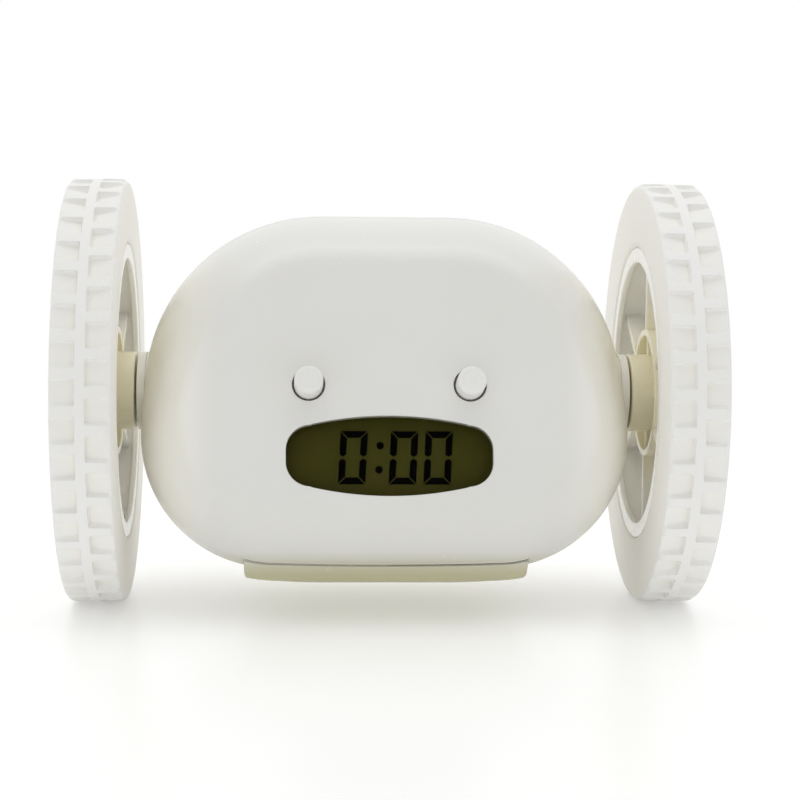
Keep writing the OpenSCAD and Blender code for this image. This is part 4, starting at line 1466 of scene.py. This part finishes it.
@dataclass
class Studio:
    """Plain white floor, soft lamps and the photograph's camera."""

    place: Triple = (-18.88, -430.0, 85.02)
    yaw: float = 2.941
    pitch: float = 5.605
    roll: float = 0.537
    focal: float = 90.14
    shift: tuple[float, float] = (0.00275, 0.00225)
    ahead: float = 0.64
    behind: float = 1.0
    floor_lift: float = 0.19
    surround_depth: tuple[float, float] = (-0.3, 0.7)
    floor_half: float = 9.0
    fade_mm: tuple[float, float] = (130.0, 330.0)
    lamps: tuple[Lamp, ...] = (
        Lamp("top", (0.0, -0.05, 0.75), (0.0, 0.0, 0.04), 0.9, 0.7, 1.5),
        Lamp("front", (-0.15, -0.95, 0.15), (0.0, 0.0, 0.05), 0.8, 0.6, 0.45),
    )

    def camera(self) -> None:
        """Sets up the camera."""
        made = bpy.data.cameras.new("camera")
        made.lens = self.focal
        made.sensor_width = 36.0
        made.shift_x, made.shift_y = self.shift
        made.clip_start = 0.01
        obj = show(bpy.data.objects.new("camera", made))
        obj.location = Vector(self.place) * MM
        yaw, pitch = math.radians(self.yaw), math.radians(self.pitch)
        level = math.cos(pitch)
        ahead = Vector((math.sin(yaw) * level, math.cos(yaw) * level, -math.sin(pitch)))
        look = ahead.to_track_quat("-Z", "Y").to_matrix()
        obj.rotation_euler = (look @ Matrix.Rotation(math.radians(self.roll), 3, "Z")).to_euler()
        bpy.context.scene.camera = obj

    def floor(self) -> None:
        """Makes the floor and the white surround."""
        g = Graph.material("floor_white")
        seen = g.ray("Camera").high(g.ray("Glossy"))
        base = g.shader(Base_Color=(0.88, 0.88, 0.87), Roughness=0.3, Specular_IOR_Level=0.3)
        lift = g.shader("ShaderNodeEmission", Color=WHITE, Strength=self.floor_lift)
        both = g.node("ShaderNodeAddShader", None, {0: base, 1: lift})
        white = g.shader("ShaderNodeEmission", Color=WHITE, Strength=1.0)
        far = g.vector("LENGTH", g.points, out="Value").ramp(*self.fade_mm) * seen
        material = g.finish(g.node("ShaderNodeMixShader", None, {0: far, 1: both, 2: white}))
        data = bpy.data.meshes.new("floor")
        half = self.floor_half
        corners = [(-half, -half, 0), (half, -half, 0), (half, half, 0), (-half, half, 0)]
        data.from_pydata(corners, [], [(0, 1, 2, 3)])
        data.materials.append(material)
        made = show(bpy.data.objects.new("floor", data))

    def world(self) -> None:
        """White surround, brightest behind the clock, that also fills the shadows."""
        g = Graph(bpy.data.worlds.new("surround"))
        seen = g.ray("Camera").high(g.ray("Transmission"))
        coords = g.node("ShaderNodeTexCoord", out="Generated")
        depth = g.node("ShaderNodeSeparateXYZ", None, {0: coords}, "Y")
        low, high = self.surround_depth
        levels = {"From Min": low, "From Max": high, "To Min": self.ahead, "To Max": self.behind}
        glow = g.node("ShaderNodeMapRange", None, {"Value": depth, **levels})
        back = g.shader("ShaderNodeBackground", Color=WHITE, Strength=g.blend(seen, glow, 1.0))
        g.node("ShaderNodeOutputWorld", None, {"Surface": back})
        bpy.context.scene.world = g.owner

    def lights(self) -> None:
        """Places the soft lamps."""
        for lamp in self.lamps:
            data = bpy.data.lights.new(lamp.name, "AREA")
            data.shape = "RECTANGLE"
            data.size, data.size_y = lamp.wide, lamp.high
            data.energy = lamp.watts
            obj = show(bpy.data.objects.new(lamp.name, data))
            obj.location = lamp.spot
            obj.rotation_euler = (Vector(lamp.aim) - Vector(lamp.spot)).to_track_quat("-Z", "Y").to_euler()

    def build(self) -> None:
        """Sets the whole stage."""
        self.camera()
        self.floor()
        self.world()
        self.lights()
        bpy.context.scene.view_settings.view_transform = "Standard"


def main() -> None:
    """Builds every sub-assembly and the studio."""
    logging.basicConfig(level=logging.INFO, format="%(name)s: %(message)s")
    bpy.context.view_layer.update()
    studio = Studio()
    studio.build()
    finishes = Finishes()
    finishes.dress_frame()
    body = Body(finishes)
    body.build()
    Cover(finishes, body.form).build()
    Display(finishes, body.form, body.window).build()
    FrontCap(finishes, body.form, -body.eye_x, "eye_cap_time", "time_cap", "time_button").build()
    FrontCap(finishes, body.form, body.eye_x, "eye_cap_alarm", "alarm_cap", "alarm_button").build()
    for side in Side:
        Wheel(finishes, side).build()


if __name__ == "__main__":
    main()
